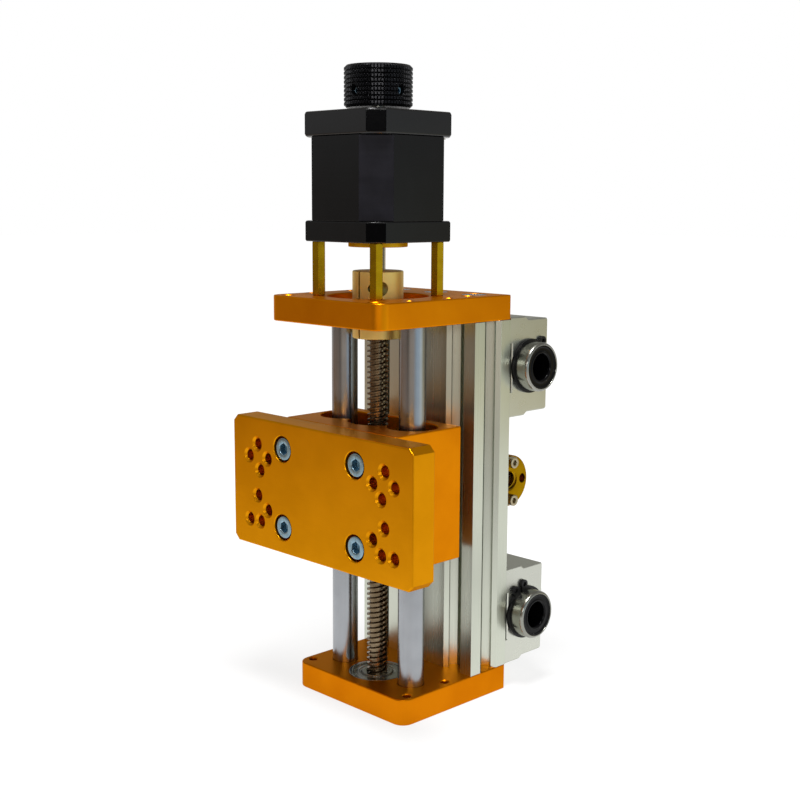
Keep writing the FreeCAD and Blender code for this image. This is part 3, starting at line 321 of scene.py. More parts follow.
# Enamelled magnet wire: red brown, with lines along the winding.
COPPER = Finish("enamelled_copper", "copper_wire", "#B4622E", "#8C4420", 0.8, (0.28, 0.42),
                (0.5, 0.5, 6.0), 0.02, patch=4.0)
# Stacked rotor sheets, bare and lightly oiled: grey, with lines across the axis.
ROTOR = Finish("rotor_sheet_steel", "rotor_iron", "#6E6E6C", "#565654", 0.9, (0.35, 0.5),
               (8.0, 8.0, 0.5), 0.01, patch=6.0)

FINISHES = {finish.slot: finish for finish in (
    ORANGE, SILVER, CHROME, BEARING, ZINC, SCREW, PHOSPHATE, BRASS, TURNED, PAINT, KNOB, RESIN, NYLON,
    COPPER, ROTOR)}


# Mesh making


def eased(points: Sequence[Point], radius: float, arc: int = 3) -> list[Point]:
    """Rounds the corners of a closed profile.

    Args:
        points: corners of the profile, in order.
        radius: how far from each corner the rounding starts.
        arc: straight pieces in each rounding.

    Returns:
        The rounded profile. Corners on the axis stay sharp.
    """
    rounded: list[Point] = []
    for number, corner in enumerate(points):
        here = Vector(corner)
        before = Vector(points[number - 1]) - here
        after = Vector(points[(number + 1) % len(points)]) - here
        cut = min(radius, before.length * EASE_SHARE, after.length * EASE_SHARE)
        if corner[0] < TINY or cut < TINY:
            rounded.append(corner)
            continue
        start = here + before.normalized() * cut
        end = here + after.normalized() * cut
        for step in range(arc + 1):
            part = step / arc
            spot = start * (1 - part) ** 2 + here * (2 * part * (1 - part)) + end * part ** 2
            rounded.append((spot.x, spot.y))
    return rounded


def skin(made: Solid, loops: Sequence[Sequence[bmesh.types.BMVert]]) -> None:
    """Puts faces between loops of points.

    Args:
        made: the mesh that holds the points.
        loops: the loops in order. One of a single point is a pole.
    """
    for low, high in zip(loops, loops[1:]):
        count = max(len(low), len(high))
        for step in range(count):
            after = (step + 1) % count
            corners = [low[step % len(low)], low[after % len(low)],
                       high[after % len(high)], high[step % len(high)]]
            made.faces.new(list(dict.fromkeys(corners)))


def turned(profile: Sequence[Point], steps: int = TURN_STEPS, closed: bool = True) -> Solid:
    """Turns a profile of radius and height about the Z axis.

    Args:
        profile: points of a half section, which may touch the axis at its two ends only.
        steps: flat faces round the axis.
        closed: whether the section's end joins its start.

    Returns:
        The turned mesh.
    """
    made = bmesh.new()
    turns = [2 * math.pi * step / steps for step in range(steps)]
    rings = []
    for radius, height in profile:
        reach = radius * MM
        around = turns if radius > TINY else turns[:1]
        spots = [(reach * math.cos(turn), reach * math.sin(turn), height * MM) for turn in around]
        rings.append([made.verts.new(spot) for spot in spots])
    if closed and len(rings[0]) > 1:
        rings.append(rings[0])
    skin(made, rings)
    bmesh.ops.recalc_face_normals(made, faces=made.faces)
    return made


def moved_in(outline: Sequence[Point], amount: float) -> list[Point]:
    """Moves a convex outline inwards.

    Args:
        outline: the corners, anticlockwise.
        amount: how far each side moves.

    Returns:
        The moved corners.
    """
    inner = []
    for number, corner in enumerate(outline):
        here = Vector(corner)
        back = (here - Vector(outline[number - 1])).normalized()
        ahead = (Vector(outline[(number + 1) % len(outline)]) - here).normalized()
        normals = Vector((-back.y - ahead.y, back.x + ahead.x))
        spot = here + normals * (amount / (1 + back.dot(ahead)))
        inner.append((spot.x, spot.y))
    return inner


def slab(outline: Sequence[Point], low: float, high: float, edge: float, arc: int = 4) -> Solid:
    """A convex plate with rounded edges.

    Args:
        outline: plan of the plate, anticlockwise.
        low: height of its underside.
        high: height of its top.
        edge: radius of its edges.
        arc: straight pieces in each rounded edge.

    Returns:
        A closed mesh.
    """
    made = bmesh.new()
    turns = [math.pi / 2 * step / arc for step in range(arc + 1)]
    levels = [(edge * (1 - math.sin(turn)), edge * (1 - math.cos(turn))) for turn in turns]
    stack = [(inset, low + rise) for inset, rise in levels]
    stack += [(inset, high - rise) for inset, rise in reversed(levels)]
    loops = [[made.verts.new((x * MM, y * MM, height * MM)) for x, y in moved_in(outline, inset)]
             for inset, height in stack]
    skin(made, loops)
    made.faces.new(list(reversed(loops[0])))
    made.faces.new(loops[-1])
    return made


def cutting_block(low: Place, high: Place) -> Solid:
    """A plain block between two corners, to cut with."""
    outline = [(low[0], low[1]), (high[0], low[1]), (high[0], high[1]), (low[0], high[1])]
    return slab(outline, low[2], high[2], edge=0.01, arc=1)


def rounded_plan(low: Point, high: Point, front: float, back: float, arc: int = 8) -> list[Point]:
    """A rectangle with round corners, anticlockwise from its front left corner.

    Args:
        low: the front left corner.
        high: the back right corner.
        front: radius of the two front corners.
        back: radius of the two back corners.
        arc: straight pieces in each corner.

    Returns:
        The points.
    """
    corners = ((low[0] + front, low[1] + front, front, 180), (high[0] - front, low[1] + front, front, 270),
               (high[0] - back, high[1] - back, back, 0), (low[0] + back, high[1] - back, back, 90))
    points = []
    for x, y, radius, start in corners:
        for step in range(arc + 1):
            turn = math.radians(start + 90 * step / arc)
            points.append((x + radius * math.cos(turn), y + radius * math.sin(turn)))
    return points


def bevelled_plan(low: Point, high: Point, bevel: float) -> list[Point]:
    """A rectangle with flat corners, anticlockwise."""
    (left, front), (right, back) = low, high
    return [(left + bevel, front), (right - bevel, front), (right, front + bevel), (right, back - bevel),
            (right - bevel, back), (left + bevel, back), (left, back - bevel), (left, front + bevel)]


def four(half_x: float, half_y: float) -> list[Point]:
    """The corners of a rectangle about the origin."""
    return [(half_x * x, half_y * y) for x in SIDES for y in SIDES]


def square_places(half: float, height: float) -> list[Place]:
    """Four places of a square pattern about the screw's axis."""
    return [(x, y, height) for x, y in four(half, half)]


def as_mesh(name: str, part: Part) -> Mesh:
    """Makes a part a plain mesh.

    Args:
        name: name of a new mesh.
        part: a plain mesh, or one under edit, which is freed.

    Returns:
        The plain mesh.
    """
    if isinstance(part, Mesh):
        return part
    mesh = bpy.data.meshes.new(name)
    part.to_mesh(mesh)
    part.free()
    return mesh


def joined(parts: Sequence[Part]) -> Solid:
    """Gathers separate meshes into one.

    Args:
        parts: the meshes, which are used up.

    Returns:
        One mesh under edit.
    """
    total = bmesh.new()
    for part in parts:
        mesh = as_mesh("passing", part)
        total.from_mesh(mesh)
        bpy.data.meshes.remove(mesh)
    return total


def set_at(part: Part, place: Place, way: Way = Way.UP) -> Solid:
    """Turns a mesh and moves it.

    Args:
        part: the mesh, which is used up.
        place: where its origin goes, in mm.
        way: where its Z axis points.

    Returns:
        The mesh in place.
    """
    solid = joined([part]) if isinstance(part, Mesh) else part
    where = Matrix.Translation(Vector(place) * MM) @ way.turn()
    bmesh.ops.transform(solid, matrix=where, verts=solid.verts)
    return solid


def drilled(profile: Sequence[Point], places: Sequence[Place], way: Way, steps: int = HOLE_STEPS) -> Solid:
    """Cutters of one turned profile at several places, with a way that points out of the holes."""
    return joined([set_at(turned(profile, steps), place, way) for place in places])


def hole_profile(steps: Sequence[Point], rim: float = FINE_RIM) -> list[Point]:
    """The half section of a stepped hole.

    Args:
        steps: radius and depth of each straight step, from the mouth down.
        rim: bevel that breaks the mouth's edge.

    Returns:
        Points from the axis above the mouth to the axis at the floor.
    """
    mouth = steps[0][0]
    profile = [(0.0, PAST), (mouth + rim + PAST, PAST), (mouth + rim, 0.0), (mouth, -rim)]
    for number, (radius, depth) in enumerate(steps):
        if number:
            profile.append((radius, -steps[number - 1][1]))
        profile.append((radius, -depth))
    profile.append((0.0, -steps[-1][1]))
    return profile


def linked(name: str, part: Part) -> bpy.types.Object:
    """Links an object of a mesh into the scene.

    Args:
        name: the object's name.
        part: its mesh.

    Returns:
        The object.
    """
    made = bpy.data.objects.new(name, as_mesh(name, part))
    bpy.context.scene.collection.objects.link(made)
    return made


def evaluated(source: bpy.types.Object) -> Mesh:
    """A plain mesh of an object with its modifiers applied."""
    graph = bpy.context.evaluated_depsgraph_get()
    return bpy.data.meshes.new_from_object(source.evaluated_get(graph), depsgraph=graph)


def discard(*items: bpy.types.Object) -> None:
    """Deletes passing objects and their meshes.

    Args:
        items: the objects.
    """
    for item in items:
        mesh = item.data
        bpy.data.objects.remove(item)
        if mesh.users == 0:
            bpy.data.meshes.remove(mesh)


def carved(body: Part, cutter: Solid) -> Mesh:
    """Cuts one mesh out of another.

    Args:
        body: the solid to cut.
        cutter: closed solids that are taken away.

    Returns:
        The cut mesh.
    """
    solid = linked("solid", body)
    tool = linked("cutter", cutter)
    cut = solid.modifiers.new("cut", "BOOLEAN")
    cut.operation = "DIFFERENCE"
    cut.solver = "EXACT"
    cut.object = tool
    mesh = evaluated(solid)
    discard(solid, tool)
    return mesh


def publish(name: str, part: Part, finish: Finish, body: Body, node: str, sharp: float = 32.0) -> None:
    """Makes a finished piece that rides on a body and stands for a CAD node.

    Args:
        name: the piece's name.
        part: its mesh, in place.
        finish: its finish.
        body: the CAD body that it moves with.
        node: the CAD node that it stands for.
        sharp: angle between faces from which an edge stays sharp, in degrees.
    """
    draft = linked(name + "_draft", part)
    draft.data.polygons.foreach_set("use_smooth", [True] * len(draft.data.polygons))
    draft.data.set_sharp_from_angle(angle=math.radians(sharp))
    weigh = draft.modifiers.new("weigh", "WEIGHTED_NORMAL")
    weigh.keep_sharp = True
    mesh = evaluated(draft)
    discard(draft)
    mesh.name = name
    mesh.materials.clear()
    mesh.materials.append(finish.material())
    piece = linked(name, mesh)
    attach(piece, body.value)
    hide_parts(node)
    LOG.info("%s: %d faces in %s", name, len(mesh.polygons), finish.name)


# Geometry node trees


@dataclass(frozen=True)
class Ring:
    """One ring of a stacked solid, its radius and height given as sums of named sizes.

    Attributes:
        radius: factor of each size in the radius, which is half the flats' width on a hexagon.
        height: factor of each size in the height.
        hexagonal: whether the ring is a hexagon.
    """

    radius: dict[str, float]
    height: dict[str, float]
    hexagonal: bool = False


class GridTree:
    """Geometry nodes that wrap a grid round the Z axis and repeat the solid at points.

    Args:
        name: name of the tree.
        sizes: names of its size inputs.
    """

    def __init__(self, name: str, sizes: Sequence[str]) -> None:
        """Starts the tree with its inputs."""
        self.name = name
        self.tree = bpy.data.node_groups.new(name, "GeometryNodeTree")
        face = self.tree.interface
        kinds = {"Geometry": "Geometry", **dict.fromkeys(sizes, "Float"), "Turn": "Vector",
                 "Finish": "Material"}
        self.keys = {}
        for size, kind in kinds.items():
            socket = face.new_socket(size, in_out="INPUT", socket_type=f"NodeSocket{kind}")
            self.keys[size] = socket.identifier
        face.new_socket("Geometry", in_out="OUTPUT", socket_type="NodeSocketGeometry")
        self.inputs = add_node(self.tree, "NodeGroupInput").node.outputs

    def total(self, terms: dict[str, float]) -> Value:
        """Adds up named sizes.

        Args:
            terms: factor of each size.

        Returns:
            The sum.
        """
        result: Value = 0.0
        for size, factor in terms.items():
            result = add_node(self.tree, MATH, {0: self.inputs[size], 1: factor, 2: result},
                              operation="MULTIPLY_ADD")
        return result

    def grid(self, rows: int, columns: int) -> tuple[Value, Value, Value]:
        """A flat grid.

        Args:
            rows: points along the height.
            columns: faces round the axis.

        Returns:
            The grid, and fields of its row and column numbers.
        """
        tree = self.tree
        flat = add_node(tree, "GeometryNodeMeshGrid", {"Size X": float(rows - 1), "Size Y": float(columns),
                                                       "Vertices X": rows, "Vertices Y": columns + 1})
        spot = add_node(tree, "GeometryNodeInputPosition")
        apart = add_node(tree, "ShaderNodeSeparateXYZ", {0: spot}).node.outputs
        counts = []
        for axis, half in ((0, (rows - 1) / 2), (1, columns / 2)):
            shifted = add_node(tree, MATH, {0: apart[axis], 1: half}, operation="ADD")
            counts.append(add_node(tree, MATH, {0: shifted}, operation="ROUND"))
        return flat, counts[0], counts[1]

    def looked_up(self, number: Value, *lists: Sequence[Value]) -> list[Value]:
        """The values that a number picks from lists.

        Args:
            number: field of the number, which counts from zero.
            lists: the lists to pick from.

        Returns:
            One field for each list.
        """
        picked = []
        for values in lists:
            switch = add_node(self.tree, "GeometryNodeIndexSwitch", {0: number}, data_type="FLOAT").node
            while len(switch.index_switch_items) < len(values):
                switch.index_switch_items.new()
            feed(self.tree, switch, dict(enumerate(values, start=1)))
            picked.append(switch.outputs[0])
        return picked

    def wrap(self, flat: Value, angle: Value, radius: Value, height: Value) -> None:
        """Wraps the grid and ends the tree.

        Args:
            flat: the grid.
            angle: field of the angle round the axis.
            radius: field of the distance from the axis.
            height: field of the height.
        """
        tree = self.tree
        sides = []
        for operation in ("COSINE", "SINE"):
            share = add_node(tree, MATH, {0: angle}, operation=operation)
            sides.append(add_node(tree, MATH, {0: share, 1: radius}, operation="MULTIPLY"))
        spot = add_node(tree, "ShaderNodeCombineXYZ", {0: sides[0], 1: sides[1], 2: height})
        wrapped = add_node(tree, "GeometryNodeSetPosition", {"Geometry": flat, "Position": spot})
        closed = add_node(tree, "GeometryNodeMergeByDistance", {"Geometry": wrapped, "Distance": WELD})
        turn = add_node(tree, "FunctionNodeEulerToRotation", {0: self.inputs["Turn"]})
        copies = add_node(tree, "GeometryNodeInstanceOnPoints",
                          {"Points": self.inputs["Geometry"], "Instance": closed, "Rotation": turn})
        real = add_node(tree, "GeometryNodeRealizeInstances", {0: copies})
        dressed = add_node(tree, "GeometryNodeSetMaterial",
                           {"Geometry": real, "Material": self.inputs["Finish"]})
        add_node(tree, "NodeGroupOutput", {0: dressed})

    def grow(self, sizes: dict[str, float], places: Sequence[Place], way: Way, finish: Finish,
             spin: float = 0.0) -> Mesh:
        """Makes the solids as one plain mesh.

        Args:
            sizes: the size inputs, in mm.
            places: where the solids stand, in mm.
            way: where their Z axis points.
            finish: the finish that the tree sets.
            spin: turn about their own axis, in degrees.

        Returns:
            The mesh, closed and facing outwards.
        """
        points = bpy.data.meshes.new(self.name)
        points.from_pydata([Vector(place) * MM for place in places], [], [])
        holder = linked(self.name, points)
        nodes = holder.modifiers.new("grow", "NODES")
        nodes.node_group = self.tree
        for size, value in sizes.items():
            nodes[self.keys[size]] = float(value * MM)
        turn = way.turn() @ Matrix.Rotation(math.radians(spin), 4, "Z")
        nodes[self.keys["Turn"]] = tuple(turn.to_euler())
        nodes[self.keys["Finish"]] = finish.material()
        mesh = evaluated(holder)
        holder.modifiers.remove(nodes)
        discard(holder)
        clean = bmesh.new()
        clean.from_mesh(mesh)
        bmesh.ops.remove_doubles(clean, verts=clean.verts, dist=WELD)
        bmesh.ops.dissolve_degenerate(clean, edges=clean.edges, dist=WELD / 10)
        bmesh.ops.recalc_face_normals(clean, faces=clean.faces)
        clean.to_mesh(mesh)
        clean.free()
        return mesh


class RingTree(GridTree):
    """Nodes that stack rings, round or hexagonal, into a closed solid.

    Args:
        name: name of the tree.
        sizes: names of its sizes.
        rings: the rings from the lower end to the upper end.
        steps: faces round the axis, a multiple of twelve so that hexagon corners fall on points.
    """

    def __init__(self, name: str, sizes: Sequence[str], rings: Sequence[Ring], steps: int = 48) -> None:
        """Builds the tree."""
        super().__init__(name, sizes)
        tree = self.tree
        flat, row, column = self.grid(len(rings), steps)
        angle = add_node(tree, MATH, {0: column, 1: 2 * math.pi / steps}, operation="MULTIPLY")
        radius, height, flag = self.looked_up(
            row, [self.total(ring.radius) for ring in rings], [self.total(ring.height) for ring in rings],
            [float(ring.hexagonal) for ring in rings])
        sixth = math.pi / 6
        ahead = add_node(tree, MATH, {0: angle, 1: sixth}, operation="ADD")
        sector = add_node(tree, MATH, {0: ahead, 1: 2 * sixth}, operation="MODULO")
        swing = add_node(tree, MATH, {0: sector, 1: sixth}, operation="SUBTRACT")
        slope = add_node(tree, MATH, {0: swing}, operation="COSINE")
        reach = add_node(tree, MATH, {0: radius, 1: slope}, operation="DIVIDE")
        shaped = add_node(tree, "ShaderNodeMix", {"Factor": flag, 2: radius, 3: reach})
        self.wrap(flat, angle, shaped, height)


class ThreadTree(GridTree):
    """Nodes for a threaded rod whose grid follows the helix, so that its crests stay crisp.

    Args:
        turns: how many pitches the grid covers.
        steps: faces round the axis.
    """

    # Where a trapezoidal pitch turns from crest to flank to root, as shares of the pitch
    CORNERS = (0.0, 0.366, 0.5, 0.866)
    ON_CREST = (1.0, 1.0, 0.0, 0.0)

    def __init__(self, turns: int, steps: int = 48) -> None:
        """Builds the tree."""
        super().__init__("threaded_rod", ("Crest", "Root", "Pitch", "Lead", "Length"))
        tree = self.tree
        per_turn = len(self.CORNERS)
        rows = turns * per_turn + 2
        flat, row, column = self.grid(rows, steps)
        length = self.inputs["Length"]
        part = add_node(tree, MATH, {0: column, 1: 1 / steps}, operation="MULTIPLY")
        angle = add_node(tree, MATH, {0: part, 1: 2 * math.pi}, operation="MULTIPLY")
        past_cap = add_node(tree, MATH, {0: row, 1: 1.0}, operation="SUBTRACT")
        quarter = add_node(tree, MATH, {0: past_cap, 1: per_turn}, operation="DIVIDE")
        turn = add_node(tree, MATH, {0: quarter}, operation="FLOOR")
        corner = add_node(tree, MATH, {0: turn, 1: -per_turn, 2: past_cap}, operation="MULTIPLY_ADD")
        share, crest = self.looked_up(corner, self.CORNERS, self.ON_CREST)
        pitches = add_node(tree, MATH, {0: turn, 1: share}, operation="ADD")
        climb = add_node(tree, MATH, {0: part, 1: 1.0}, operation="SUBTRACT")
        helix = add_node(tree, MATH, {0: climb, 1: self.inputs["Lead"]}, operation="MULTIPLY")
        raised = add_node(tree, MATH, {0: pitches, 1: self.inputs["Pitch"], 2: helix},
                          operation="MULTIPLY_ADD")
        started = add_node(tree, MATH, {0: raised, 1: 0.0}, operation="GREATER_THAN")
        ended = add_node(tree, MATH, {0: raised, 1: length}, operation="LESS_THAN")
        inside = add_node(tree, MATH, {0: started, 1: ended}, operation="MULTIPLY")
        full = add_node(tree, MATH, {0: crest, 1: inside}, operation="MULTIPLY")
        shape = add_node(tree, "ShaderNodeMix",
                         {"Factor": full, 2: self.inputs["Root"], 3: self.inputs["Crest"]})
        to_end = add_node(tree, MATH, {0: rows - 1.0, 1: row}, operation="SUBTRACT")
        nearest = add_node(tree, MATH, {0: to_end, 1: row}, operation="MINIMUM")
        rim = add_node(tree, MATH, {0: nearest, 1: 1.0}, operation="MINIMUM")
        radius = add_node(tree, MATH, {0: shape, 1: rim}, operation="MULTIPLY")
        above = add_node(tree, MATH, {0: raised, 1: 0.0}, operation="MAXIMUM")
        height = add_node(tree, MATH, {0: above, 1: length}, operation="MINIMUM")
        self.wrap(flat, angle, radius, height)


class KnurlTree(GridTree):
    """Nodes for a grip cut by ring grooves and by straight grooves along its axis.

    Args:
        rings: raised bands along the grip.
        ribs: raised ribs round the grip.
    """

    # Where a band or rib starts, ends and is cut deepest, as shares of its pitch
    CORNERS = (0.0, 0.56, 0.78)
    CUT = (0.0, 0.0, 1.0)
    # Rows from the middle of an end face to the first band
    CAP_ROWS = 3

    def __init__(self, rings: int, ribs: int) -> None:
        """Builds the tree."""
        super().__init__("knurled_grip", ("Radius", "Height", "Edge", "Depth"))
        tree = self.tree
        per_pitch = len(self.CORNERS)
        flat, row, column = self.grid(rings * per_pitch + 2 * self.CAP_ROWS - 1, ribs * per_pitch)
        round_part = add_node(tree, MATH, {0: column, 1: per_pitch}, operation="DIVIDE")
        rib = add_node(tree, MATH, {0: round_part}, operation="FLOOR")
        rib_corner = add_node(tree, MATH, {0: rib, 1: -per_pitch, 2: column}, operation="MULTIPLY_ADD")
        rib_share, rib_cut = self.looked_up(rib_corner, self.CORNERS, self.CUT)
        passed = add_node(tree, MATH, {0: rib, 1: rib_share}, operation="ADD")
        angle = add_node(tree, MATH, {0: passed, 1: 2 * math.pi / ribs}, operation="MULTIPLY")
        shares = [band + corner for band in range(rings) for corner in self.CORNERS][:-1]
        cuts = (list(self.CUT) * rings)[:-1]
        length = self.total({"Height": 1.0, "Edge": -2.0})
        heights: list[Value] = [0.0, 0.0, self.total({"Edge": 0.5})]
        for share in shares:
            heights.append(add_node(tree, MATH, {0: length, 1: share / shares[-1], 2: self.inputs["Edge"]},
                                    operation="MULTIPLY_ADD"))
        end = self.total({"Height": 1.0})
        heights += [self.total({"Height": 1.0, "Edge": -0.5}), end, end]
        rim = self.total({"Radius": 1.0, "Edge": -1.0})
        shoulder = self.total({"Radius": 1.0, "Depth": -1.0})
        bands = [self.total({"Radius": 1.0, "Depth": -cut}) for cut in cuts]
        on_cap = [0.0] * self.CAP_ROWS
        height, ring_radius, raised = self.looked_up(
            row, heights, [0.0, rim, shoulder, *bands, shoulder, rim, 0.0],
            [*on_cap, *(1.0 - cut for cut in cuts), *on_cap])
        cut_here = add_node(tree, MATH, {0: raised, 1: rib_cut}, operation="MULTIPLY")
        sunk = add_node(tree, MATH, {0: cut_here, 1: self.inputs["Depth"]}, operation="MULTIPLY")
        radius = add_node(tree, MATH, {0: ring_radius, 1: sunk}, operation="SUBTRACT")
        self.wrap(flat, angle, radius, height)


# Fasteners


class Thread(Enum):
    """A screw size: thread, head diameter, head height and socket width, in mm."""

    M2_5 = (2.5, 4.5, 2.5, 2.0)
    M3 = (3.0, 5.5, 3.0, 2.5)
    M4 = (4.0, 7.0, 4.0, 3.0)
    M5 = (5.0, 8.5, 5.0, 4.0)


# The lower rings of every screw: its end, bevelled up to the full shank
SHANK_END = (
    Ring({}, {"Length": -1}),
    Ring({"Shank": 1, "Edge": -1}, {"Length": -1}),
    Ring({"Shank": 1}, {"Length": -1, "Edge": 1}),
)


@dataclass
class Fasteners:
    """The screws of the module, each kind grown by one node tree at all its places.

    Attributes:
        edge: bevel on the rims of the largest heads.
        socket_depth: depth of a hexagon socket, as a share of the head's height.
        sunk: sizes of the end plates' countersunk screws.
    """

    edge: float = 0.35
    socket_depth: float = 0.55
    sunk: dict[str, float] = field(default_factory=lambda: {
        "Shank": 2.05, "Length": 22.0, "Head": 4.9, "Socket": 1.5, "Deep": 1.7, "Edge": 0.3})
    cap_tree: RingTree = field(init=False)
    sunk_tree: RingTree = field(init=False)

    def __post_init__(self) -> None:
        """Builds the two node trees."""
        sizes = ("Shank", "Length", "Head", "Height", "Socket", "Deep", "Edge")
        self.cap_tree = RingTree("socket_head_screw", sizes, SHANK_END + (
            Ring({"Shank": 1}, {}),
            Ring({"Head": 1, "Edge": -0.4}, {}),
            Ring({"Head": 1}, {"Edge": 0.4}),
            Ring({"Head": 1}, {"Height": 1, "Edge": -1.2}),
            Ring({"Head": 1, "Edge": -0.3}, {"Height": 1, "Edge": -0.4}),
            Ring({"Head": 1, "Edge": -1}, {"Height": 1}),
            Ring({"Socket": HEX_CORNER, "Edge": 0.6}, {"Height": 1}),
            Ring({"Socket": 1}, {"Height": 1, "Edge": -0.7}, hexagonal=True),
            Ring({"Socket": 1}, {"Height": 1, "Deep": -1}, hexagonal=True),
            Ring({}, {"Height": 1, "Deep": -1, "Socket": -0.3}),
        ))
        self.sunk_tree = RingTree("countersunk_screw", tuple(self.sunk), SHANK_END + (
            Ring({"Shank": 1}, {"Head": -1, "Shank": 1, "Edge": -0.5}),
            Ring({"Head": 1}, {"Edge": -0.5}),
            Ring({"Head": 1, "Edge": -0.3}, {}),
            Ring({"Socket": HEX_CORNER, "Edge": 0.5}, {}),
            Ring({"Socket": 1}, {"Edge": -0.6}, hexagonal=True),
            Ring({"Socket": 1}, {"Deep": -1}, hexagonal=True),
            Ring({}, {"Deep": -1, "Socket": -0.3}),
        ))

    def cap_screws(self, node: str, thread: Thread, length: float, places: Sequence[Place], way: Way,
                   body: Body = Body.FRAME, finish: Finish = ZINC) -> None:
        """Socket-head screws that stand for one CAD node.

        Args:
            node: the CAD node, which also names the piece.
            thread: the screw size.
            length: length of the shank.
            places: where the heads sit.
            way: where the heads point.
            body: the CAD body.
            finish: what the screws are made of.
        """
        shank, head, height, socket = thread.value
        sizes = {"Shank": shank / 2, "Length": length, "Head": head / 2, "Height": height,
                 "Socket": socket / 2, "Deep": height * self.socket_depth,
                 "Edge": self.edge * shank / Thread.M5.value[0]}
        publish(f"{node}_turned", self.cap_tree.grow(sizes, places, way, finish), finish, body, node)

    def sunk_screws(self, node: str, places: Sequence[Place], way: Way) -> None:
        """Countersunk screws of the end plates, standing for one CAD node."""
        publish(f"{node}_turned", self.sunk_tree.grow(self.sunk, places, way, ZINC), ZINC, Body.FRAME, node)


class NodeBox:
    """The box of a CAD node, in mm.

    Args:
        node: the node's name.
    """

    def __init__(self, node: str) -> None:
        """Reads the box and works out its middle, half its width and its height."""
        low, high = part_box(node)
        self.low = low / MM
        self.high = high / MM
        self.middle = (self.low + self.high) / 2
        self.radius = (self.high.x - self.low.x) / 2
        self.length = self.high.z - self.low.z


# Sub-assemblies


@dataclass
class EndPlates:
    """The base plate and the top plate, with the screws that hold the column between them.

    A stepped hole is a row of radii and depths, from its mouth down.

    Attributes:
        fasteners: what makes the screws.
    """

    fasteners: Fasteners
    corner: float = 5.0
    back_corner: float = 0.8
    edge: float = 0.5
    rod_half: float = 18.5
    rod_hole: float = 5.01
    base_rod_depth: float = 8.0
    top_rod_depth: float = 5.5
    side_hole: Section = ((1.65, 14.0),)
    side_hole_x: float = 26.5
    side_hole_y: float = 10.0
    column_middle: float = 31.0
    slot_pitch: float = 20.0
    sunk: Section = ((0.0, 1.0), (6.0, 1.0), (2.75, -2.25), (2.75, -14.0), (0.0, -14.0))
    sunk_inset: float = 0.1
    bearing_seat: Section = ((11.01, 7.0), (7.0, 8.5))
    coupling_recess: Section = ((19.05, 3.0), (11.5, 12.0))
    wide_hole: Section = ((2.5, 12.0),)
    wide_half: float = 23.57
    standoff_hole: Section = ((3.0, 3.4), (1.7, 12.0))
    standoff_half: float = 15.5
    standoff_screw: float = 10.0

    def mill(self, node: str, finish: Finish, cutters: Sequence[Solid]) -> None:
        """Cuts one plate out of its blank and dresses it.

        Args:
            node: the CAD node.
            finish: its finish.
            cutters: solids that are taken away.
        """
        box = NodeBox(node)
        outline = rounded_plan(box.low, box.high, self.corner, self.back_corner)
        blank = slab(outline, box.low.z, box.high.z, self.edge)
        publish(f"{node}_milled", carved(blank, joined(cutters)), finish, Body.FRAME, node)

    def screw_places(self, height: float) -> list[Place]:
        """The places of the three column screws."""
        return [(self.slot_pitch * step, self.column_middle, height) for step in (-1, 0, 1)]

    def common_cutters(self, top: float, middle_hole: Section, rod_level: float, rod_depth: float,
                       rod_way: Way) -> list[Solid]:
        """Cutters for the rod seats, the small holes at the sides and the wide hole in the middle.

        Args:
            top: height of the plate's upper face.
            middle_hole: steps of the wide hole.
            rod_level: height of the face with the rod seats.
            rod_depth: depth of the rod seats.
            rod_way: where that face points.

        Returns:
            The cutters.
        """
        rods = [(self.rod_half * side, 0.0, rod_level) for side in SIDES]
        sides = [(x, y, top) for x, y in four(self.side_hole_x, self.side_hole_y)]
        return [drilled(hole_profile([(self.rod_hole, rod_depth)], RIM), rods, rod_way, TURN_STEPS),
                drilled(hole_profile(self.side_hole, WIDE_RIM), sides, Way.UP),
                drilled(hole_profile(middle_hole, RIM), [(0.0, 0.0, top)], Way.UP, TURN_STEPS)]

    def build(self) -> None:
        """Makes and dresses both plates."""
        box = NodeBox("base_plate")
        low, high = box.low.z, box.high.z
        cutters = self.common_cutters(high, self.bearing_seat, high, self.base_rod_depth, Way.UP)
        # The base plate takes the darker copy of the orange, with its painted shade.
        self.mill("base_plate", ORANGE_PAINTED_SHADE, cutters + [drilled(self.sunk, self.screw_places(low), Way.DOWN)])
        self.fasteners.sunk_screws("base_plate_screws", self.screw_places(low + self.sunk_inset), Way.DOWN)

        box = NodeBox("top_plate")
        low, high = box.low.z, box.high.z
        cutters = self.common_cutters(high, self.coupling_recess, low, self.top_rod_depth, Way.DOWN)
        cutters += [
            drilled(hole_profile(self.wide_hole, WIDE_RIM), square_places(self.wide_half, high), Way.UP),
            drilled(hole_profile(self.standoff_hole), square_places(self.standoff_half, low), Way.DOWN),
            drilled(self.sunk, self.screw_places(high), Way.UP)]
        self.mill("top_plate", ORANGE, cutters)
        self.fasteners.sunk_screws("top_plate_screws", self.screw_places(high - self.sunk_inset), Way.UP)
        heads = square_places(self.standoff_half, low + self.standoff_hole[0][1])
        self.fasteners.cap_screws("standoff_screws", Thread.M3, self.standoff_screw, heads, Way.DOWN)


@dataclass
class GuideRods:
    """The two chromed rods."""

    nodes: tuple[str, str] = ("guide_rod_left", "guide_rod_right")
    bevel: float = 0.8

    def build(self) -> None:
        """Turns both rods with bevelled ends."""
        for node in self.nodes:
            box = NodeBox(node)
            radius, length, bevel = box.radius, box.length, self.bevel
            profile = [(0.0, 0.0), (radius - bevel, 0.0), (radius, bevel), (radius, length - bevel),
                       (radius - bevel, length), (0.0, length)]
            rod = set_at(turned(profile, FINE_STEPS), (box.middle.x, box.middle.y, box.low.z))
            publish(f"{node}_ground", rod, CHROME, Body.FRAME, node)


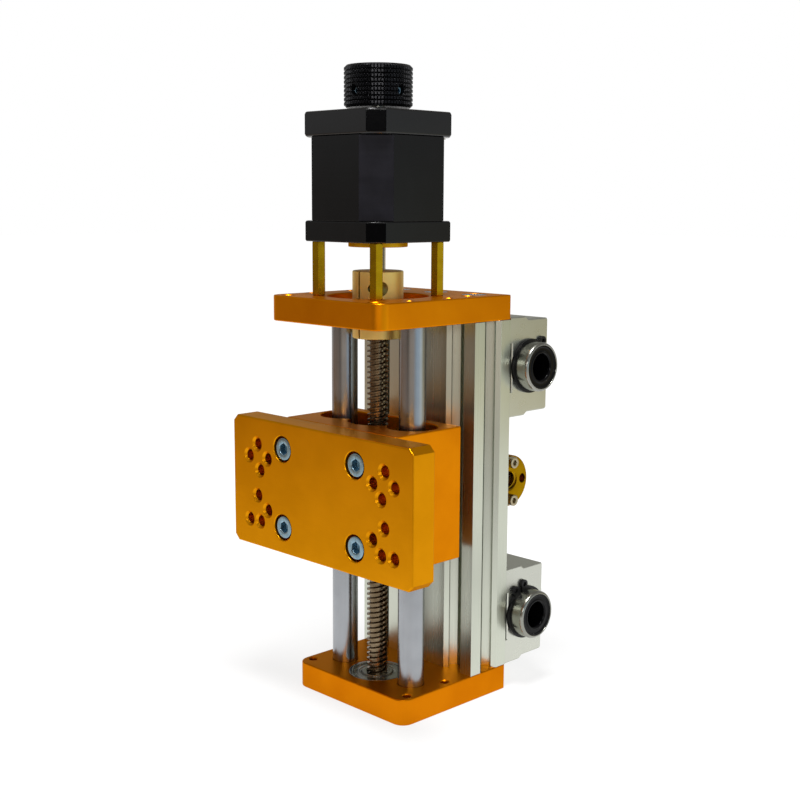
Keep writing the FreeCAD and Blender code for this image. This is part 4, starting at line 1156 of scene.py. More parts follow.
@dataclass
class ScrewDrive:
    """The lead screw, its lower bearing and the clamping coupling.

    Attributes:
        fasteners: what makes the clamp screws.
        threads: what makes the thread.
        ring_lip: inner radius of the bearing's outer ring where the shields sit, and their depth.
        ring_wall: inner radius of the outer ring between the shields, and the depth where it starts.
        inner_ring: inner and outer radius of the bearing's inner ring.
        shield: half section of a pressed shield, from the bearing's face.
        bores: radius of the coupling's bore for the screw and for the motor's shaft.
        clamp_bore: half section of a clamp screw's hole, from its seat.
    """

    fasteners: Fasteners
    threads: ThreadTree
    pitch: float = 2.0
    starts: int = 2
    thread_depth: float = 1.1
    ring_lip: Point = (9.32, 1.0)
    ring_wall: Point = (9.0, 1.2)
    ring_edge: float = 0.3
    inner_ring: Point = (4.02, 6.05)
    inner_edge: float = 0.35
    shield_edge: float = 0.08
    shield: Section = (
        (6.45, -0.4), (6.45, -0.62), (6.9, -0.62), (7.1, -0.42), (8.5, -0.42), (8.7, -0.25), (9.3, -0.25),
        (9.3, -0.6), (8.8, -0.6), (8.6, -0.72), (7.0, -0.72), (6.8, -0.9), (6.2, -0.9), (6.2, -0.4))
    bores: Point = (4.01, 2.51)
    coupling_edge: float = 0.6
    slit: float = 0.8
    slit_end: float = 0.5
    clamp_bore: Section = ((0.0, 12.0), (2.7, 12.0), (2.7, 0.0), (1.35, 0.0), (1.35, -14.0), (0.0, -14.0))
    clamp_offset: float = 6.0
    clamp_seat: float = 3.0
    clamp_length: float = 9.0
    clamp_inset: float = 6.25

    def build_screw(self) -> None:
        """Rolls the thread of the lead screw."""
        box = NodeBox("lead_screw")
        sizes = {"Crest": box.radius, "Root": box.radius - self.thread_depth, "Pitch": self.pitch,
                 "Lead": self.pitch * self.starts, "Length": box.length}
        mesh = self.threads.grow(sizes, [(0, 0, box.low.z)], Way.UP, SCREW)
        publish("lead_screw_thread", mesh, SCREW, Body.SCREW, "lead_screw", sharp=20.0)

    def build_bearing(self) -> None:
        """Turns the rings and the shields of the lower bearing."""
        box = NodeBox("screw_bearing_outer_ring")
        width, outer = box.length, box.radius
        place = (0.0, 0.0, box.low.z)
        lip, lip_depth = self.ring_lip
        wall, wall_depth = self.ring_wall
        ring = [(lip, 0.0), (outer, 0.0), (outer, width), (lip, width), (lip, width - lip_depth),
                (wall, width - wall_depth), (wall, wall_depth), (lip, lip_depth)]
        publish("bearing_outer_ring_ground", set_at(turned(eased(ring, self.ring_edge)), place), BEARING,
                Body.FRAME, "screw_bearing_outer_ring")
        bore, rim = self.inner_ring
        inner = [(bore, 0.0), (rim, 0.0), (rim, width), (bore, width)]
        publish("bearing_inner_ring_ground", set_at(turned(eased(inner, self.inner_edge)), place), BEARING,
                Body.SCREW, "screw_bearing_inner_ring")
        upper = set_at(turned(eased(self.shield, self.shield_edge)), (0.0, 0.0, box.high.z))
        lower = set_at(turned(eased(self.shield, self.shield_edge)), place, Way.DOWN)
        publish("bearing_shields_pressed", joined([upper, lower]), BEARING, Body.FRAME,
                "screw_bearing_shields")

    def build_coupling(self) -> None:
        """Turns, slits and drills the coupling and puts its clamp screws in."""
        box = NodeBox("shaft_coupling")
        low, high, radius = box.low.z, box.high.z, box.radius
        half = box.length / 2
        wide, narrow = self.bores
        profile = [(wide, 0.0), (radius, 0.0), (radius, box.length), (narrow, box.length), (narrow, half),
                   (wide, half)]
        body = set_at(turned(eased(profile, self.coupling_edge), FINE_STEPS), (0.0, 0.0, low))
        split = carved(body, cutting_block((-self.slit / 2, -radius - PAST, low - PAST),
                                           (self.slit / 2, self.slit_end, high + PAST)))
        seats = [(self.clamp_seat, -self.clamp_offset, height)
                 for height in (low + self.clamp_inset, high - self.clamp_inset)]
        publish("shaft_coupling_split", carved(split, drilled(self.clamp_bore, seats, Way.RIGHT)), TURNED,
                Body.SCREW, "shaft_coupling")
        self.fasteners.cap_screws("coupling_screws", Thread.M2_5, self.clamp_length, seats, Way.RIGHT,
                                  Body.SCREW)

    def build(self) -> None:
        """Makes the screw, the bearing and the coupling."""
        self.build_screw()
        self.build_bearing()
        self.build_coupling()


@dataclass
class Motor:
    """The stepper motor on its four hexagon standoffs.

    Attributes:
        fasteners: what makes the screws.
        strip: thickness of the strips on the bevelled corners, ground on the stator and painted shade on the
            bells.
        strip_edge: radius of the strips' edges.
        standoff_spin: turn of the standoffs about their own axis, in degrees.
        stud_room: length of a standoff's stud in CAD.
    """

    fasteners: Fasteners
    bolt_half: float = 15.5
    bell_bevel: float = 4.8
    stator_bevel: float = 8.5
    strip: float = 0.2
    strip_edge: float = 0.05
    pilot: float = 11.0
    pilot_height: float = 2.0
    pilot_edge: float = 0.35
    edge: float = 0.5
    rear_edge: float = 0.9
    stator_edge: float = 0.2
    shaft_hole: Section = ((4.0, 12.0),)
    front_hole: Section = ((1.5, 4.8),)
    rear_hole: Section = ((3.0, 3.4), (1.6, 12.0))
    long_screw: float = 38.0
    standoff_flats: float = 4.5
    standoff_spin: float = -15.0
    standoff_edge: float = 0.35
    stud: float = 1.4
    stud_length: float = 4.4
    stud_room: float = 4.5

    def build_length(self, node: str, made: str, low: float, bevel: float, edge: float, finish: Finish,
                     corner_finish: Finish, cutters: Sequence[Solid] = ()) -> None:
        """Makes one square length of the case and the strips on its bevelled corners.

        Args:
            node: the CAD node.
            made: how it was made, for the piece's name.
            low: height of its lower face.
            bevel: width of its corner bevels.
            edge: radius of its edges.
            finish: finish of the length.
            corner_finish: finish of the strips, painted shade on the bells.
            cutters: solids that are taken away.
        """
        box = NodeBox(node)
        half, high, cut = box.radius, box.high.z, bevel + self.strip
        body = slab(bevelled_plan((-half, -half), (half, half), cut), low, high, edge)
        if cutters:
            body = carved(body, joined(cutters))
        publish(f"{node}_{made}", body, finish, Body.FRAME, node)
        outer = half - bevel
        inner = half - cut
        strips = []
        for turn in range(4):
            outline = [(inner, -half), (outer, -half), (half, -outer), (half, -inner)]
            strip = slab(outline, low + edge, high - edge, self.strip_edge, arc=2)
            spin = Matrix.Rotation(math.pi / 2 * turn, 4, "Z")
            bmesh.ops.transform(strip, matrix=spin, verts=strip.verts)
            strips.append(strip)
        publish(f"{node}_corners", joined(strips), corner_finish, Body.FRAME, node)

    def build_case(self) -> None:
        """Makes the two end bells, the stator between them, the pilot and the long screws."""
        low = NodeBox("motor_front_bell").low.z
        face = low + self.pilot_height
        cutters = [drilled(hole_profile(self.shaft_hole), [(0.0, 0.0, face)], Way.DOWN),
                   drilled(hole_profile(self.front_hole), square_places(self.bolt_half, face), Way.DOWN)]
        # The front bell's corner strips are painted shade, darker than its paint.
        self.build_length("motor_front_bell", "cast", face, self.bell_bevel, self.edge, FLAT, BELL_CORNER_SHADE, cutters)
        bore = self.shaft_hole[0][0]
        pilot = eased([(bore, low), (self.pilot, low), (self.pilot, face), (bore, face)], self.pilot_edge)
        # The pilot's gold colour is a painted reflection of the orange plate below.
        publish("motor_pilot_turned", turned(pilot, FINE_STEPS), PILOT_ORANGE_REFLECTION, Body.FRAME, "motor_front_bell")
        low = NodeBox("motor_stator").low.z
        self.build_length("motor_stator", "stack", low, self.stator_bevel, self.stator_edge, STACK, CORNER)
        box = NodeBox("motor_rear_bell")
        high = box.high.z
        socket = NodeBox("motor_connector")
        notch = cutting_block((socket.low.x, socket.low.y, socket.low.z - PAST),
                              (socket.high.x, box.high.y + 2 * PAST, socket.high.z))
        cutters = [drilled(hole_profile(self.shaft_hole), [(0.0, 0.0, high)], Way.UP),
                   drilled(hole_profile(self.rear_hole), square_places(self.bolt_half, high), Way.UP), notch]
        # The rear bell's corner strips are painted shade as well.
        self.build_length("motor_rear_bell", "cast", box.low.z, self.bell_bevel, self.rear_edge, PAINT, BELL_CORNER_SHADE,
                          cutters)
        heads = square_places(self.bolt_half, high - self.rear_hole[0][1])
        self.fasteners.cap_screws("motor_screws", Thread.M3, self.long_screw, heads, Way.UP)

    def build_standoffs(self) -> None:
        """Grows the four hexagon standoffs with their studs."""
        box = NodeBox("motor_standoffs")
        sizes = {"Flats": self.standoff_flats / 2, "Length": box.length - self.stud_room, "Stud": self.stud,
                 "Reach": self.stud_length, "Edge": self.standoff_edge}
        tree = RingTree("hexagon_standoff", tuple(sizes), (
            Ring({}, {}),
            Ring({"Flats": 1, "Edge": -0.3}, {}),
            Ring({"Flats": 1}, {"Edge": 1}, hexagonal=True),
            Ring({"Flats": 1}, {"Length": 1, "Edge": -1}, hexagonal=True),
            Ring({"Flats": 1, "Edge": -0.3}, {"Length": 1}),
            Ring({"Stud": 1}, {"Length": 1}),
            Ring({"Stud": 1}, {"Length": 1, "Reach": 1}),
            Ring({}, {"Length": 1, "Reach": 1}),
        ))
        places = square_places(self.bolt_half, box.low.z)
        mesh = tree.grow(sizes, places, Way.UP, BRASS, self.standoff_spin)
        publish("motor_standoffs_hexagon", mesh, BRASS, Body.FRAME, "motor_standoffs", sharp=25.0)

    def build(self) -> None:
        """Makes the case and the standoffs."""
        self.build_case()
        self.build_standoffs()


@dataclass
class Knob:
    """The knurled hand knob with its two grub screws.

    Attributes:
        grub_place: distance of a grub screw's outer end from the axis.
        grub_room: gap round a grub screw in its hole.
        wall: how much shorter a grub screw's hole is than the knob's radius.
    """

    rings: int = 9
    ribs: int = 66
    groove: float = 0.45
    edge: float = 0.9
    shaft_hole: Section = ((2.52, 13.0),)
    wall: float = 3.0
    grub_radius: float = 1.5
    grub_room: float = 0.02
    grub_height: float = 5.6
    grub_length: float = 8.0
    grub_place: float = 10.51

    def build(self) -> None:
        """Grows the grip, drills it and puts its grub screws in."""
        box = NodeBox("hand_knob")
        radius = box.radius
        sizes = {"Radius": radius, "Height": box.length, "Edge": self.edge, "Depth": self.groove}
        grip = KnurlTree(self.rings, self.ribs).grow(sizes, [(0, 0, box.low.z)], Way.UP, KNOB)
        height = box.low.z + self.grub_height
        bore = hole_profile([(self.grub_radius, radius - self.wall)], RIM)
        cutters = joined([
            drilled(bore, [(radius - self.groove, 0.0, height)], Way.RIGHT),
            drilled(bore, [(0.0, self.groove - radius, height)], Way.FRONT),
            drilled(hole_profile(self.shaft_hole, RIM), [(0.0, 0.0, box.low.z)], Way.DOWN)])
        publish("hand_knob_knurled", carved(grip, cutters), KNOB, Body.SCREW, "hand_knob", sharp=25.0)
        sizes = {"Shank": self.grub_radius - self.grub_room, "Length": self.grub_length, "Socket": 0.75,
                 "Deep": 2.5, "Edge": 0.3}
        tree = RingTree("grub_screw", tuple(sizes), SHANK_END + (
            Ring({"Shank": 1}, {"Edge": -1}),
            Ring({"Shank": 1, "Edge": -1}, {}),
            Ring({"Socket": 1}, {"Edge": -0.2}, hexagonal=True),
            Ring({"Socket": 1}, {"Deep": -1}, hexagonal=True),
            Ring({}, {"Deep": -1, "Socket": -0.3}),
        ))
        right = tree.grow(sizes, [(self.grub_place, 0.0, height)], Way.RIGHT, ZINC)
        front = tree.grow(sizes, [(0.0, -self.grub_place, height)], Way.FRONT, ZINC)
        publish("knob_grub_screws", joined([right, front]), ZINC, Body.SCREW, "knob_screws")


@dataclass
class LinearBearing:
    """A linear ball bearing along Z that ends at the origin: a ground sleeve and its retainer.

    Attributes:
        length: length of the sleeve.
        groove: distance from the outer end to the ring groove.
        face: radius and depth of the points of the retainer's end, seal and all.
    """

    length: float
    groove: float
    outer: float = 9.5
    bore: float = 8.3
    groove_depth: float = 0.5
    ring: float = 1.2
    nose: float = 1.1
    nose_turn: float = 0.33
    bore_edge: float = 0.2
    sleeve_edge: float = 0.45
    retainer_edge: float = 0.12
    face: Section = ((8.28, 0.4), (7.7, 0.4), (7.5, 0.7), (6.3, 0.7), (6.0, 0.45), (5.5, 0.45), (5.04, 0.95),
                     (5.04, 1.6), (5.45, 1.9))

    def sleeve(self) -> Solid:
        """The sleeve with its ring groove and rounded nose."""
        floor = self.outer - self.groove_depth
        start, end = -self.groove, -self.groove - self.ring
        profile = [(self.bore, -self.length), (self.outer, -self.length), (self.outer, end), (floor, end),
                   (floor, start), (self.outer, start), (self.outer, -self.nose),
                   (self.outer - self.nose_turn, -self.nose_turn), (self.bore + self.bore_edge, 0.0),
                   (self.bore, -self.bore_edge)]
        return turned(eased(profile, self.sleeve_edge), FINE_STEPS)

    def retainer(self) -> Solid:
        """The retainer and its seals."""
        profile = [(radius, -depth) for radius, depth in self.face]
        profile += [(radius, depth - self.length) for radius, depth in reversed(self.face)]
        return turned(eased(profile, self.retainer_edge))


@dataclass
class FlangeNut:
    """A brass flange nut along Z, its flange standing on the origin."""

    flange: float = 11.0
    thickness: float = 3.5
    boss: float = 5.1
    boss_length: float = 10.0
    collar: float = 1.5
    bolt_radius: float = 8.0
    hole: Section = ((1.75, 5.0),)
    hole_rim: float = 0.25
    bore: float = 4.04
    bore_edge: float = 0.8
    edge: float = 0.3

    def solid(self, first_hole: float) -> Mesh:
        """The nut with its flange holes.

        Args:
            first_hole: angle of the first flange hole, in degrees.

        Returns:
            The mesh.
        """
        top = self.thickness + self.collar
        profile = [(self.bore, -self.boss_length), (self.boss, -self.boss_length), (self.boss, 0.0),
                   (self.flange, 0.0), (self.flange, self.thickness)]
        if self.collar:
            profile += [(self.boss, self.thickness), (self.boss, top)]
        profile += [(self.bore + self.bore_edge, top), (self.bore, top - self.bore_edge)]
        turns = [math.radians(first_hole + 90 * number) for number in range(4)]
        reach = self.bolt_radius
        places = [(reach * math.cos(turn), reach * math.sin(turn), self.thickness) for turn in turns]
        cutters = drilled(hole_profile(self.hole, self.hole_rim), places, Way.UP)
        return carved(turned(eased(profile, self.edge)), cutters)


@dataclass
class Carriage:
    """The carriage block on its bearings, with the drilled tool plate and the lead-screw nut.

    Attributes:
        fasteners: what makes the screws.
        holes: tapped holes on the right half of the tool plate, from its centre.
        thread_root: radius of a tapped hole's smooth wall, at the thread's root.
        hole: radius of the tap drill.
        sink: radius of a tapped hole's countersunk mouth.
        past: how far a drill goes past the plate's back.
    """

    fasteners: Fasteners
    rod_half: float = 18.5
    corner: float = 0.8
    edge: float = 0.5
    bearing_bore: Section = ((9.51, 60.0),)
    nut_recess: Section = ((11.2, 13.0), (5.3, 60.0))
    plate_bevel: float = 2.3
    plate_edge: float = 0.6
    screw_half_x: float = 20.0
    screw_half_z: float = 15.0
    screw_length: float = 13.5
    screw_hole: float = 2.7
    counterbore: float = 5.0
    counterbore_depth: float = 5.6
    counterbore_steps: int = 64
    past: float = 2.0
    hole: float = 1.65
    thread_root: float = 2.1
    thread_depth: float = 7.0
    sink: float = 2.95
    bearing_groove: float = 3.5
    nut_screw_length: float = 11.0
    holes: Section = ((35.0, 15.0), (40.0, 10.0), (29.0, 10.0), (33.5, 5.0),
                      (35.0, -5.0), (29.0, -10.0), (40.0, -15.0), (33.5, -15.0))

    def build_block(self) -> None:
        """Mills the carriage block with its two bearing bores and the nut's recess."""
        box = NodeBox("carriage_block")
        top = box.high.z
        outline = rounded_plan(box.low, box.high, self.corner, self.corner, arc=3)
        body = slab(outline, box.low.z, top, self.edge)
        bores = [(self.rod_half * side, 0.0, top) for side in SIDES]
        for profile, places in ((self.bearing_bore, bores), (self.nut_recess, [(0.0, 0.0, top)])):
            body = carved(body, drilled(hole_profile(profile, RIM), places, Way.UP, TURN_STEPS))
        publish("carriage_block_milled", body, ORANGE, Body.CARRIAGE, "carriage_block")

    def tapped(self, depth: float) -> list[Point]:
        """The half section of a tapped hole with a countersunk mouth, smooth at the thread's root.

        Args:
            depth: depth of the tap drill.

        Returns:
            Points from the axis above the mouth to the axis at the floor.
        """
        step = self.thread_root - self.hole
        return [(0.0, PAST), (self.sink + PAST, PAST), (self.sink, 0.0),
                (self.thread_root, self.thread_root - self.sink), (self.thread_root, -self.thread_depth),
                (self.hole, -self.thread_depth - step), (self.hole, -depth), (0.0, -depth)]

    def build_plate(self) -> None:
        """Mills and drills the tool plate and screws it on."""
        box = NodeBox("tool_plate")
        front, back, middle = box.low.y, box.high.y, box.middle.z
        outline = bevelled_plan(box.low.xz, box.high.xz, self.plate_bevel)
        blank = set_at(slab(outline, -back, -front, self.plate_edge), (0.0, 0.0, 0.0), Way.FRONT)
        heads = [(x, front, middle + z) for x, z in four(self.screw_half_x, self.screw_half_z)]
        taps = [(x * side, front, middle + z) for x, z in self.holes for side in SIDES]
        depth = back - front + self.past
        bores = hole_profile([(self.counterbore, self.counterbore_depth), (self.screw_hole, depth)], RIM)
        cutters = joined([drilled(self.tapped(depth), taps, Way.FRONT),
                          drilled(bores, heads, Way.FRONT, self.counterbore_steps)])
        publish("tool_plate_milled", carved(blank, cutters), GOLDEN, Body.CARRIAGE, "tool_plate")
        seats = [(x, y + self.counterbore_depth, z) for x, y, z in heads]
        self.fasteners.cap_screws("tool_plate_screws", Thread.M5, self.screw_length, seats, Way.FRONT,
                                  Body.CARRIAGE)

    def build_bearings(self) -> None:
        """Turns the two bearings in the block."""
        retainers = []
        for node, side in (("carriage_bearing_left", -1), ("carriage_bearing_right", 1)):
            box = NodeBox(node)
            bearing = LinearBearing(box.length, self.bearing_groove)
            place = (self.rod_half * side, 0.0, box.high.z)
            publish(f"{node}_ground", set_at(bearing.sleeve(), place), BEARING, Body.CARRIAGE, node)
            retainers.append(set_at(bearing.retainer(), place))
        publish("carriage_retainers_moulded", joined(retainers), RESIN, Body.CARRIAGE,
                "carriage_bearing_retainers")

    def build_nut(self) -> None:
        """Makes the lead-screw nut and its screws."""
        nut = FlangeNut()
        seat = NodeBox("lead_screw_nut").low.z + nut.boss_length
        publish("lead_screw_nut_turned", set_at(nut.solid(45.0), (0.0, 0.0, seat)), BRASS, Body.CARRIAGE,
                "lead_screw_nut")
        heads = square_places(nut.bolt_radius * math.sqrt(0.5), seat + nut.thickness)
        self.fasteners.cap_screws("lead_screw_nut_screws", Thread.M3, self.nut_screw_length, heads, Way.UP,
                                  Body.CARRIAGE)

    def build(self) -> None:
        """Makes the block, the plate, the bearings and the nut."""
        self.build_block()
        self.build_plate()
        self.build_bearings()
        self.build_nut()


@dataclass
class CrossAxis:
    """The bearings, the nut and the bolts by which the module rides on the machine's cross axis.

    Attributes:
        fasteners: what makes the bolts and screws.
        threads: what makes the tap.
        overhang: how far a bearing stands out of its block.
        ring: width of the retaining ring beside the block.
        tap: crest and root radius of the thread in the nut.
        past: how far the tap goes past each end of the nut.
    """

    fasteners: Fasteners
    threads: ThreadTree
    levels: tuple[str, str] = ("upper", "lower")
    overhang: float = 7.0
    ring: float = 1.2
    bolt_half_x: float = 20.0
    bolt_half_z: float = 13.0
    bolt_seat: float = 4.2
    bolt_length: float = 22.4
    bracket_bolt_half: float = 10.0
    bracket_bolt_length: float = 9.6
    nut_flange: float = 10.2
    nut_bolt_radius: float = 7.6
    nut_bore: float = 3.2
    nut_screw_length: float = 9.5
    tap: Point = (4.1, 3.1)
    past: float = 2.0
    pitch: float = 2.0
    starts: int = 2

    def build_bearings(self) -> None:
        """Turns the four bearings of the blocks."""
        for level in self.levels:
            for side, way in (("left", Way.LEFT), ("right", Way.RIGHT)):
                node = f"x_bearing_{level}_{side}"
                box = NodeBox(node)
                bearing = LinearBearing(box.high.x - box.low.x, self.overhang - self.ring)
                end = box.high.x if way is Way.RIGHT else box.low.x
                place = (end, box.middle.y, box.middle.z)
                sleeve = set_at(bearing.sleeve(), place, way)
                publish(f"{node}_ground", sleeve, BEARING_ACROSS, Body.FRAME, node)
                node = f"x_retainer_{level}_{side}"
                publish(f"{node}_moulded", set_at(bearing.retainer(), place, way), RESIN, Body.FRAME, node)

    def build_bolts(self) -> None:
        """Puts in the bolts of the blocks and of the bracket."""
        places = []
        for level in self.levels:
            box = NodeBox(f"x_block_{level}")
            places += [(x, box.high.y - self.bolt_seat, box.middle.z + z)
                       for x, z in four(self.bolt_half_x, self.bolt_half_z)]
        self.fasteners.cap_screws("x_block_bolts", Thread.M4, self.bolt_length, places, Way.BACK)
        foot = NodeBox("bracket_bolts").high.y - Thread.M4.value[2]
        middle = NodeBox("x_nut_bracket").middle.z
        places = [(0.0, foot, middle + self.bracket_bolt_half * side) for side in SIDES]
        self.fasteners.cap_screws("bracket_bolts", Thread.M4, self.bracket_bolt_length, places, Way.BACK)

    def build_nut(self) -> None:
        """Makes the flange nut with its inner thread and the two screws that hold it."""
        box = NodeBox("x_screw_nut")
        nut = FlangeNut(flange=self.nut_flange, collar=0.0, bolt_radius=self.nut_bolt_radius,
                        bore=self.nut_bore)
        seat = (box.low.x + nut.boss_length, box.middle.y, box.middle.z)
        crest, root = self.tap
        sizes = {"Crest": crest, "Root": root, "Pitch": self.pitch, "Lead": self.pitch * self.starts,
                 "Length": box.high.x - box.low.x + 2 * self.past}
        tap = self.threads.grow(sizes, [(0.0, 0.0, -nut.boss_length - self.past)], Way.UP, BRASS)
        tapped = carved(nut.solid(0.0), joined([tap]))
        publish("x_screw_nut_turned", set_at(tapped, seat, Way.RIGHT), DULL_BRASS, Body.FRAME, "x_screw_nut")
        heads = [(seat[0] + nut.thickness, seat[1], seat[2] + nut.bolt_radius * side) for side in SIDES]
        # The screws' warm tint is a painted reflection of the brass flange under their heads.
        self.fasteners.cap_screws("x_nut_screws", Thread.M2_5, self.nut_screw_length, heads, Way.RIGHT,
                                  finish=STEEL_BRASS_REFLECTION)

    def build(self) -> None:
        """Makes the bearings, the bolts and the nut."""
        self.build_bearings()
        self.build_bolts()
        self.build_nut()


class CadDress:
    """Dresses every CAD node with the finish of its record slot."""

    def build(self) -> None:
        """Assigns a finish to every node."""
        slots = {part["node"]: part["material_slot"] for part in frame["record"]["subparts"]}
        for name, node in frame["nodes"].items():
            finish = SILVER_ACROSS if name.startswith("x_block") else FINISHES[slots[name]]
            if not node.material_slots:
                node.data.materials.append(finish.material())
            for place in node.material_slots:
                place.material = finish.material()


# Stage


@dataclass(frozen=True)
class Zone:
    """A side of the grey surround that is lit more than the rest.

    Attributes:
        toward: direction of its middle, across the floor.
        reach: angle from its middle to its rim, in degrees.
        colour: sRGB hex.
        levels: brightness that it adds to each tone of the surround, from the floor up.
    """

    toward: Point
    reach: float
    colour: str
    levels: tuple[float, ...]


@dataclass(frozen=True)
class SoftBox:
    """A soft lamp that faces the object.

    Attributes:
        place: where it hangs.
        power: its power, in watts.
        aim: the point that it faces.
    """

    name: str
    place: Place
    width: float
    height: float
    power: float
    aim: Place = (0.0, 10.0, 110.0)

    def build(self) -> None:
        """Hangs the lamp."""
        data = bpy.data.lights.new(self.name, "AREA")
        data.shape = "RECTANGLE"
        data.size = self.width * MM
        data.size_y = self.height * MM
        data.energy = self.power
        lamp = bpy.data.objects.new(self.name, data)
        spot = Vector(self.place) * MM
        ahead = Vector(self.aim) * MM - spot
        lamp.matrix_world = Matrix.Translation(spot) @ ahead.to_track_quat("-Z", "Y").to_matrix().to_4x4()
        bpy.context.scene.collection.objects.link(lamp)


@dataclass
class Stage:
    """Floor, grey surround, soft light, world and camera.

    Attributes:
        heading: angle of the view from +Y towards -X, in degrees.
        pitch: how far the view looks down, in degrees.
        roll: how far the camera leans, in degrees.
        lens: focal length on a 36 mm sensor.
        floor_half: half the floor's width, in mm.
        floor_grey: colour of the floor under its own glow, sRGB hex.
        fade: distance over which the floor's glow rises to white, in mm.
        glow: lowest and highest strength of the floor's glow.
        surround: radius and height of the points of the surround's section, in mm.
        steps: where each tone of the surround goes over to the next, as radius plus height in mm.
        tones: colours of the surround where no zone lights it, from the table to the ceiling, sRGB hex.
        room: number of the tone that the world sends to matt surfaces.
        zones: the lit sides of the surround.
        lamps: the soft lamps.
    """

    camera_place: Place = (342.607, -323.839, 190.235)
    heading: float = 45.595
    pitch: float = 8.901
    roll: float = 0.268
    lens: float = 57.05
    floor_half: float = 6000.0
    floor_grey: str = "#7C7C7C"
    fade: Point = (100.0, 1200.0)
    glow: Point = (0.82, 1.0)
    surround: Section = ((160.0, 0.5), (400.0, 0.5), (620.0, 0.5), (690.0, 30.0), (710.0, 100.0),
                         (720.0, 300.0), (720.0, 900.0), (350.0, 1050.0))
    steps: Section = ((160.0, 400.0), (500.0, 640.0), (730.0, 790.0), (885.0, 985.0), (1150.0, 1350.0))
    tones: tuple[str, ...] = ("#EEEEEE", "#B4B4B4", "#554D42", "#5C584F", "#2C2C2E", "#8C8A86")
    room: int = 3
    zones: tuple[Zone, ...] = (Zone((0.75, 0.66), 85.0, "#FFFFFF", (0.0, 0.6, 0.0, 0.0, 0.35)),
                               Zone((0.99, 0.139), 46.0, "#CDE8FC", (0.0, 0.0, 0.75, 0.88, 0.2)),
                               Zone((0.69, 0.72), 40.0, "#FFF0B8", (0.0, 0.0, 0.5, 0.24, 0.0)),
                               Zone((0.64, -0.77), 34.0, "#FFE6CD", (0.0, 0.0, 0.45, 0.38, 0.0)),
                               Zone((-0.72, -0.69), 60.0, "#FFE4C0", (0.0, 0.3, 0.0, 0.0, 0.0)),
                               Zone((-0.72, -0.69), 75.0, "#FFA048", (0.0, 0.0, 0.2, 0.02, 0.0)),
                               Zone((-0.72, -0.69), 60.0, "#FFFFFF", (0.0, 0.0, 0.0, 0.16, 0.38)),
                               Zone((-0.72, 0.69), 75.0, "#FFFFFF", (0.0, 0.25, 0.5, 0.65, 0.2)))
    lamps: tuple[SoftBox, ...] = (SoftBox("top_box", (175.0, -175.0, 1090.0), 300.0, 300.0, 10.5),
                                  SoftBox("front_box", (460.0, -490.0, 303.0), 520.0, 60.0, 0.7))

    def build_camera(self) -> None:
        """Puts the camera at the photograph's view."""
        data = bpy.data.cameras.new("camera")
        data.lens = self.lens
        data.sensor_width = 36.0
        data.clip_start = 0.01
        data.clip_end = 20.0
        camera = bpy.data.objects.new("camera", data)
        turn = Matrix.Rotation(math.radians(self.heading), 4, "Z")
        turn = turn @ Matrix.Rotation(math.radians(90 - self.pitch), 4, "X")
        turn = turn @ Matrix.Rotation(math.radians(self.roll), 4, "Z")
        camera.matrix_world = Matrix.Translation(Vector(self.camera_place) * MM) @ turn
        bpy.context.scene.collection.objects.link(camera)
        bpy.context.scene.camera = camera

    def shown(self, tree: Tree) -> Value:
        """One for the rays that show the white background: camera, glossy and transmission rays.

        Args:
            tree: the node tree to add to.

        Returns:
            One or zero.
        """
        path = add_node(tree, "ShaderNodeLightPath").node.outputs
        either = add_node(tree, MATH, {0: path["Is Camera Ray"], 1: path["Is Glossy Ray"]},
                          operation="MAXIMUM")
        return add_node(tree, MATH, {0: either, 1: path["Is Transmission Ray"]}, operation="MAXIMUM")

    def build_floor(self) -> None:
        """Lays a white floor that keeps the object's shadow and fades into the white background."""
        half = self.floor_half * MM
        mesh = bpy.data.meshes.new("floor")
        mesh.from_pydata([(-half, -half, 0), (half, -half, 0), (half, half, 0), (-half, half, 0)], [],
                         [(0, 1, 2, 3)])
        floor = linked("floor", mesh)
        material = bpy.data.materials.new("matt_white_sweep")
        tree = empty_tree(material)
        place = add_node(tree, "ShaderNodeTexCoord", out="Object")
        away = add_node(tree, VECTOR_MATH, {0: place}, "Value", operation="LENGTH")
        level = add_node(tree, MAP_RANGE, {"Value": away, "From Min": self.fade[0] * MM,
                                           "From Max": self.fade[1] * MM, "To Min": self.glow[0],
                                           "To Max": self.glow[1]})
        matt = add_node(tree, "ShaderNodeBsdfDiffuse", {"Color": linear(self.floor_grey)})
        glow = add_node(tree, "ShaderNodeEmission", {"Color": linear("#FFFFFF"), "Strength": level})
        white = add_node(tree, "ShaderNodeAddShader", {0: matt, 1: glow})
        mixed = add_node(tree, "ShaderNodeMixShader", {0: self.shown(tree), 1: matt, 2: white})
        add_node(tree, "ShaderNodeOutputMaterial", {"Surface": mixed})
        mesh.materials.append(material)

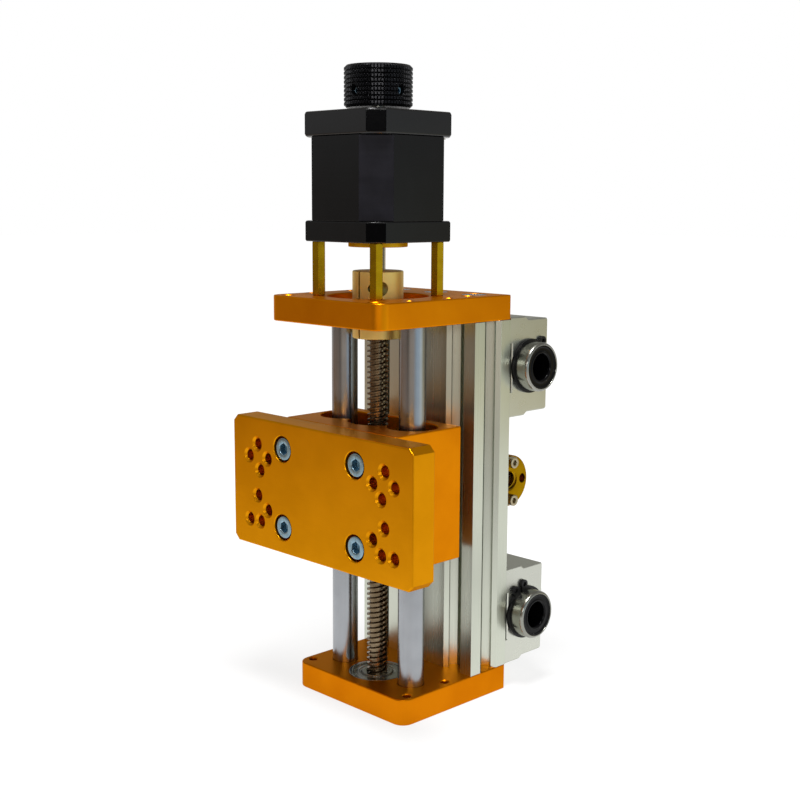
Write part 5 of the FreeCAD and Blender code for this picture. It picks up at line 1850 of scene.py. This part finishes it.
    def build_surround(self) -> None:
        """Stands a grey surround about the table, which the metal mirrors and the camera looks through."""
        surround = linked("surround", turned(self.surround, closed=False))
        surround.visible_camera = False
        surround.visible_shadow = False
        material = bpy.data.materials.new("grey_studio_card")
        tree = empty_tree(material)
        place = add_node(tree, "ShaderNodeTexCoord", out="Object")
        across = add_node(tree, VECTOR_MATH, {0: place, 1: (1.0, 1.0, 0.0)}, operation="MULTIPLY")
        away = add_node(tree, VECTOR_MATH, {0: across}, "Value", operation="LENGTH")
        heading = add_node(tree, VECTOR_MATH, {0: across}, operation="NORMALIZE")
        height = add_node(tree, "ShaderNodeSeparateXYZ", {0: place}, 2)
        tones: list[Value] = [linear(tone)[:3] for tone in self.tones]
        for zone in self.zones:
            toward = Vector((*zone.toward, 0.0)).normalized()
            facing = add_node(tree, VECTOR_MATH, {0: heading, 1: toward}, "Value", operation="DOT_PRODUCT")
            rim = math.cos(math.radians(zone.reach))
            share = add_node(tree, MAP_RANGE, {"Value": facing, "From Min": rim, "From Max": 1.0},
                             interpolation_type="SMOOTHSTEP")
            colour = Vector(linear(zone.colour)[:3])
            for number, level in enumerate(zone.levels):
                tones[number] = add_node(tree, VECTOR_MATH, {0: share, 1: colour * level, 2: tones[number]},
                                         operation="MULTIPLY_ADD")
        along = add_node(tree, MATH, {0: away, 1: height}, operation="ADD")
        tone = tones[0]
        for number, (low, high) in enumerate(self.steps, start=1):
            climb = add_node(tree, MAP_RANGE, {"Value": along, "From Min": low * MM, "From Max": high * MM},
                             interpolation_type="SMOOTHSTEP")
            tone = add_node(tree, "ShaderNodeMix", {"Factor": climb, 4: tone, 5: tones[number]}, 1,
                            data_type="VECTOR")
        card = add_node(tree, "ShaderNodeEmission", {"Color": tone, "Strength": 1.0})
        add_node(tree, "ShaderNodeOutputMaterial", {"Surface": card})
        surround.data.materials.append(material)

    def build_world(self) -> None:
        """Shows a white background, and sends only dim light to matt surfaces."""
        world = bpy.data.worlds.new("studio")
        bpy.context.scene.world = world
        tree = empty_tree(world)
        dim = linear(self.tones[self.room])
        room = add_node(tree, "ShaderNodeBackground", {"Color": dim, "Strength": 1.0})
        white = add_node(tree, "ShaderNodeBackground", {"Color": linear("#FFFFFF"), "Strength": 1.0})
        mixed = add_node(tree, "ShaderNodeMixShader", {0: self.shown(tree), 1: room, 2: white})
        add_node(tree, "ShaderNodeOutputWorld", {"Surface": mixed})

    def build(self) -> None:
        """Builds the whole stage."""
        bpy.context.scene.view_settings.view_transform = "Standard"
        self.build_camera()
        self.build_floor()
        self.build_surround()
        self.build_world()
        for lamp in self.lamps:
            lamp.build()


def main() -> None:
    """Builds every sub-assembly in order."""
    logging.basicConfig(level=logging.INFO, format="%(message)s")
    fasteners = Fasteners()
    threads = ThreadTree(turns=80)
    assemblies = (CadDress(), EndPlates(fasteners), GuideRods(), ScrewDrive(fasteners, threads),
                  Motor(fasteners), Knob(), Carriage(fasteners), CrossAxis(fasteners, threads), Stage())
    for assembly in assemblies:
        assembly.build()


if __name__ == "__main__":
    main()
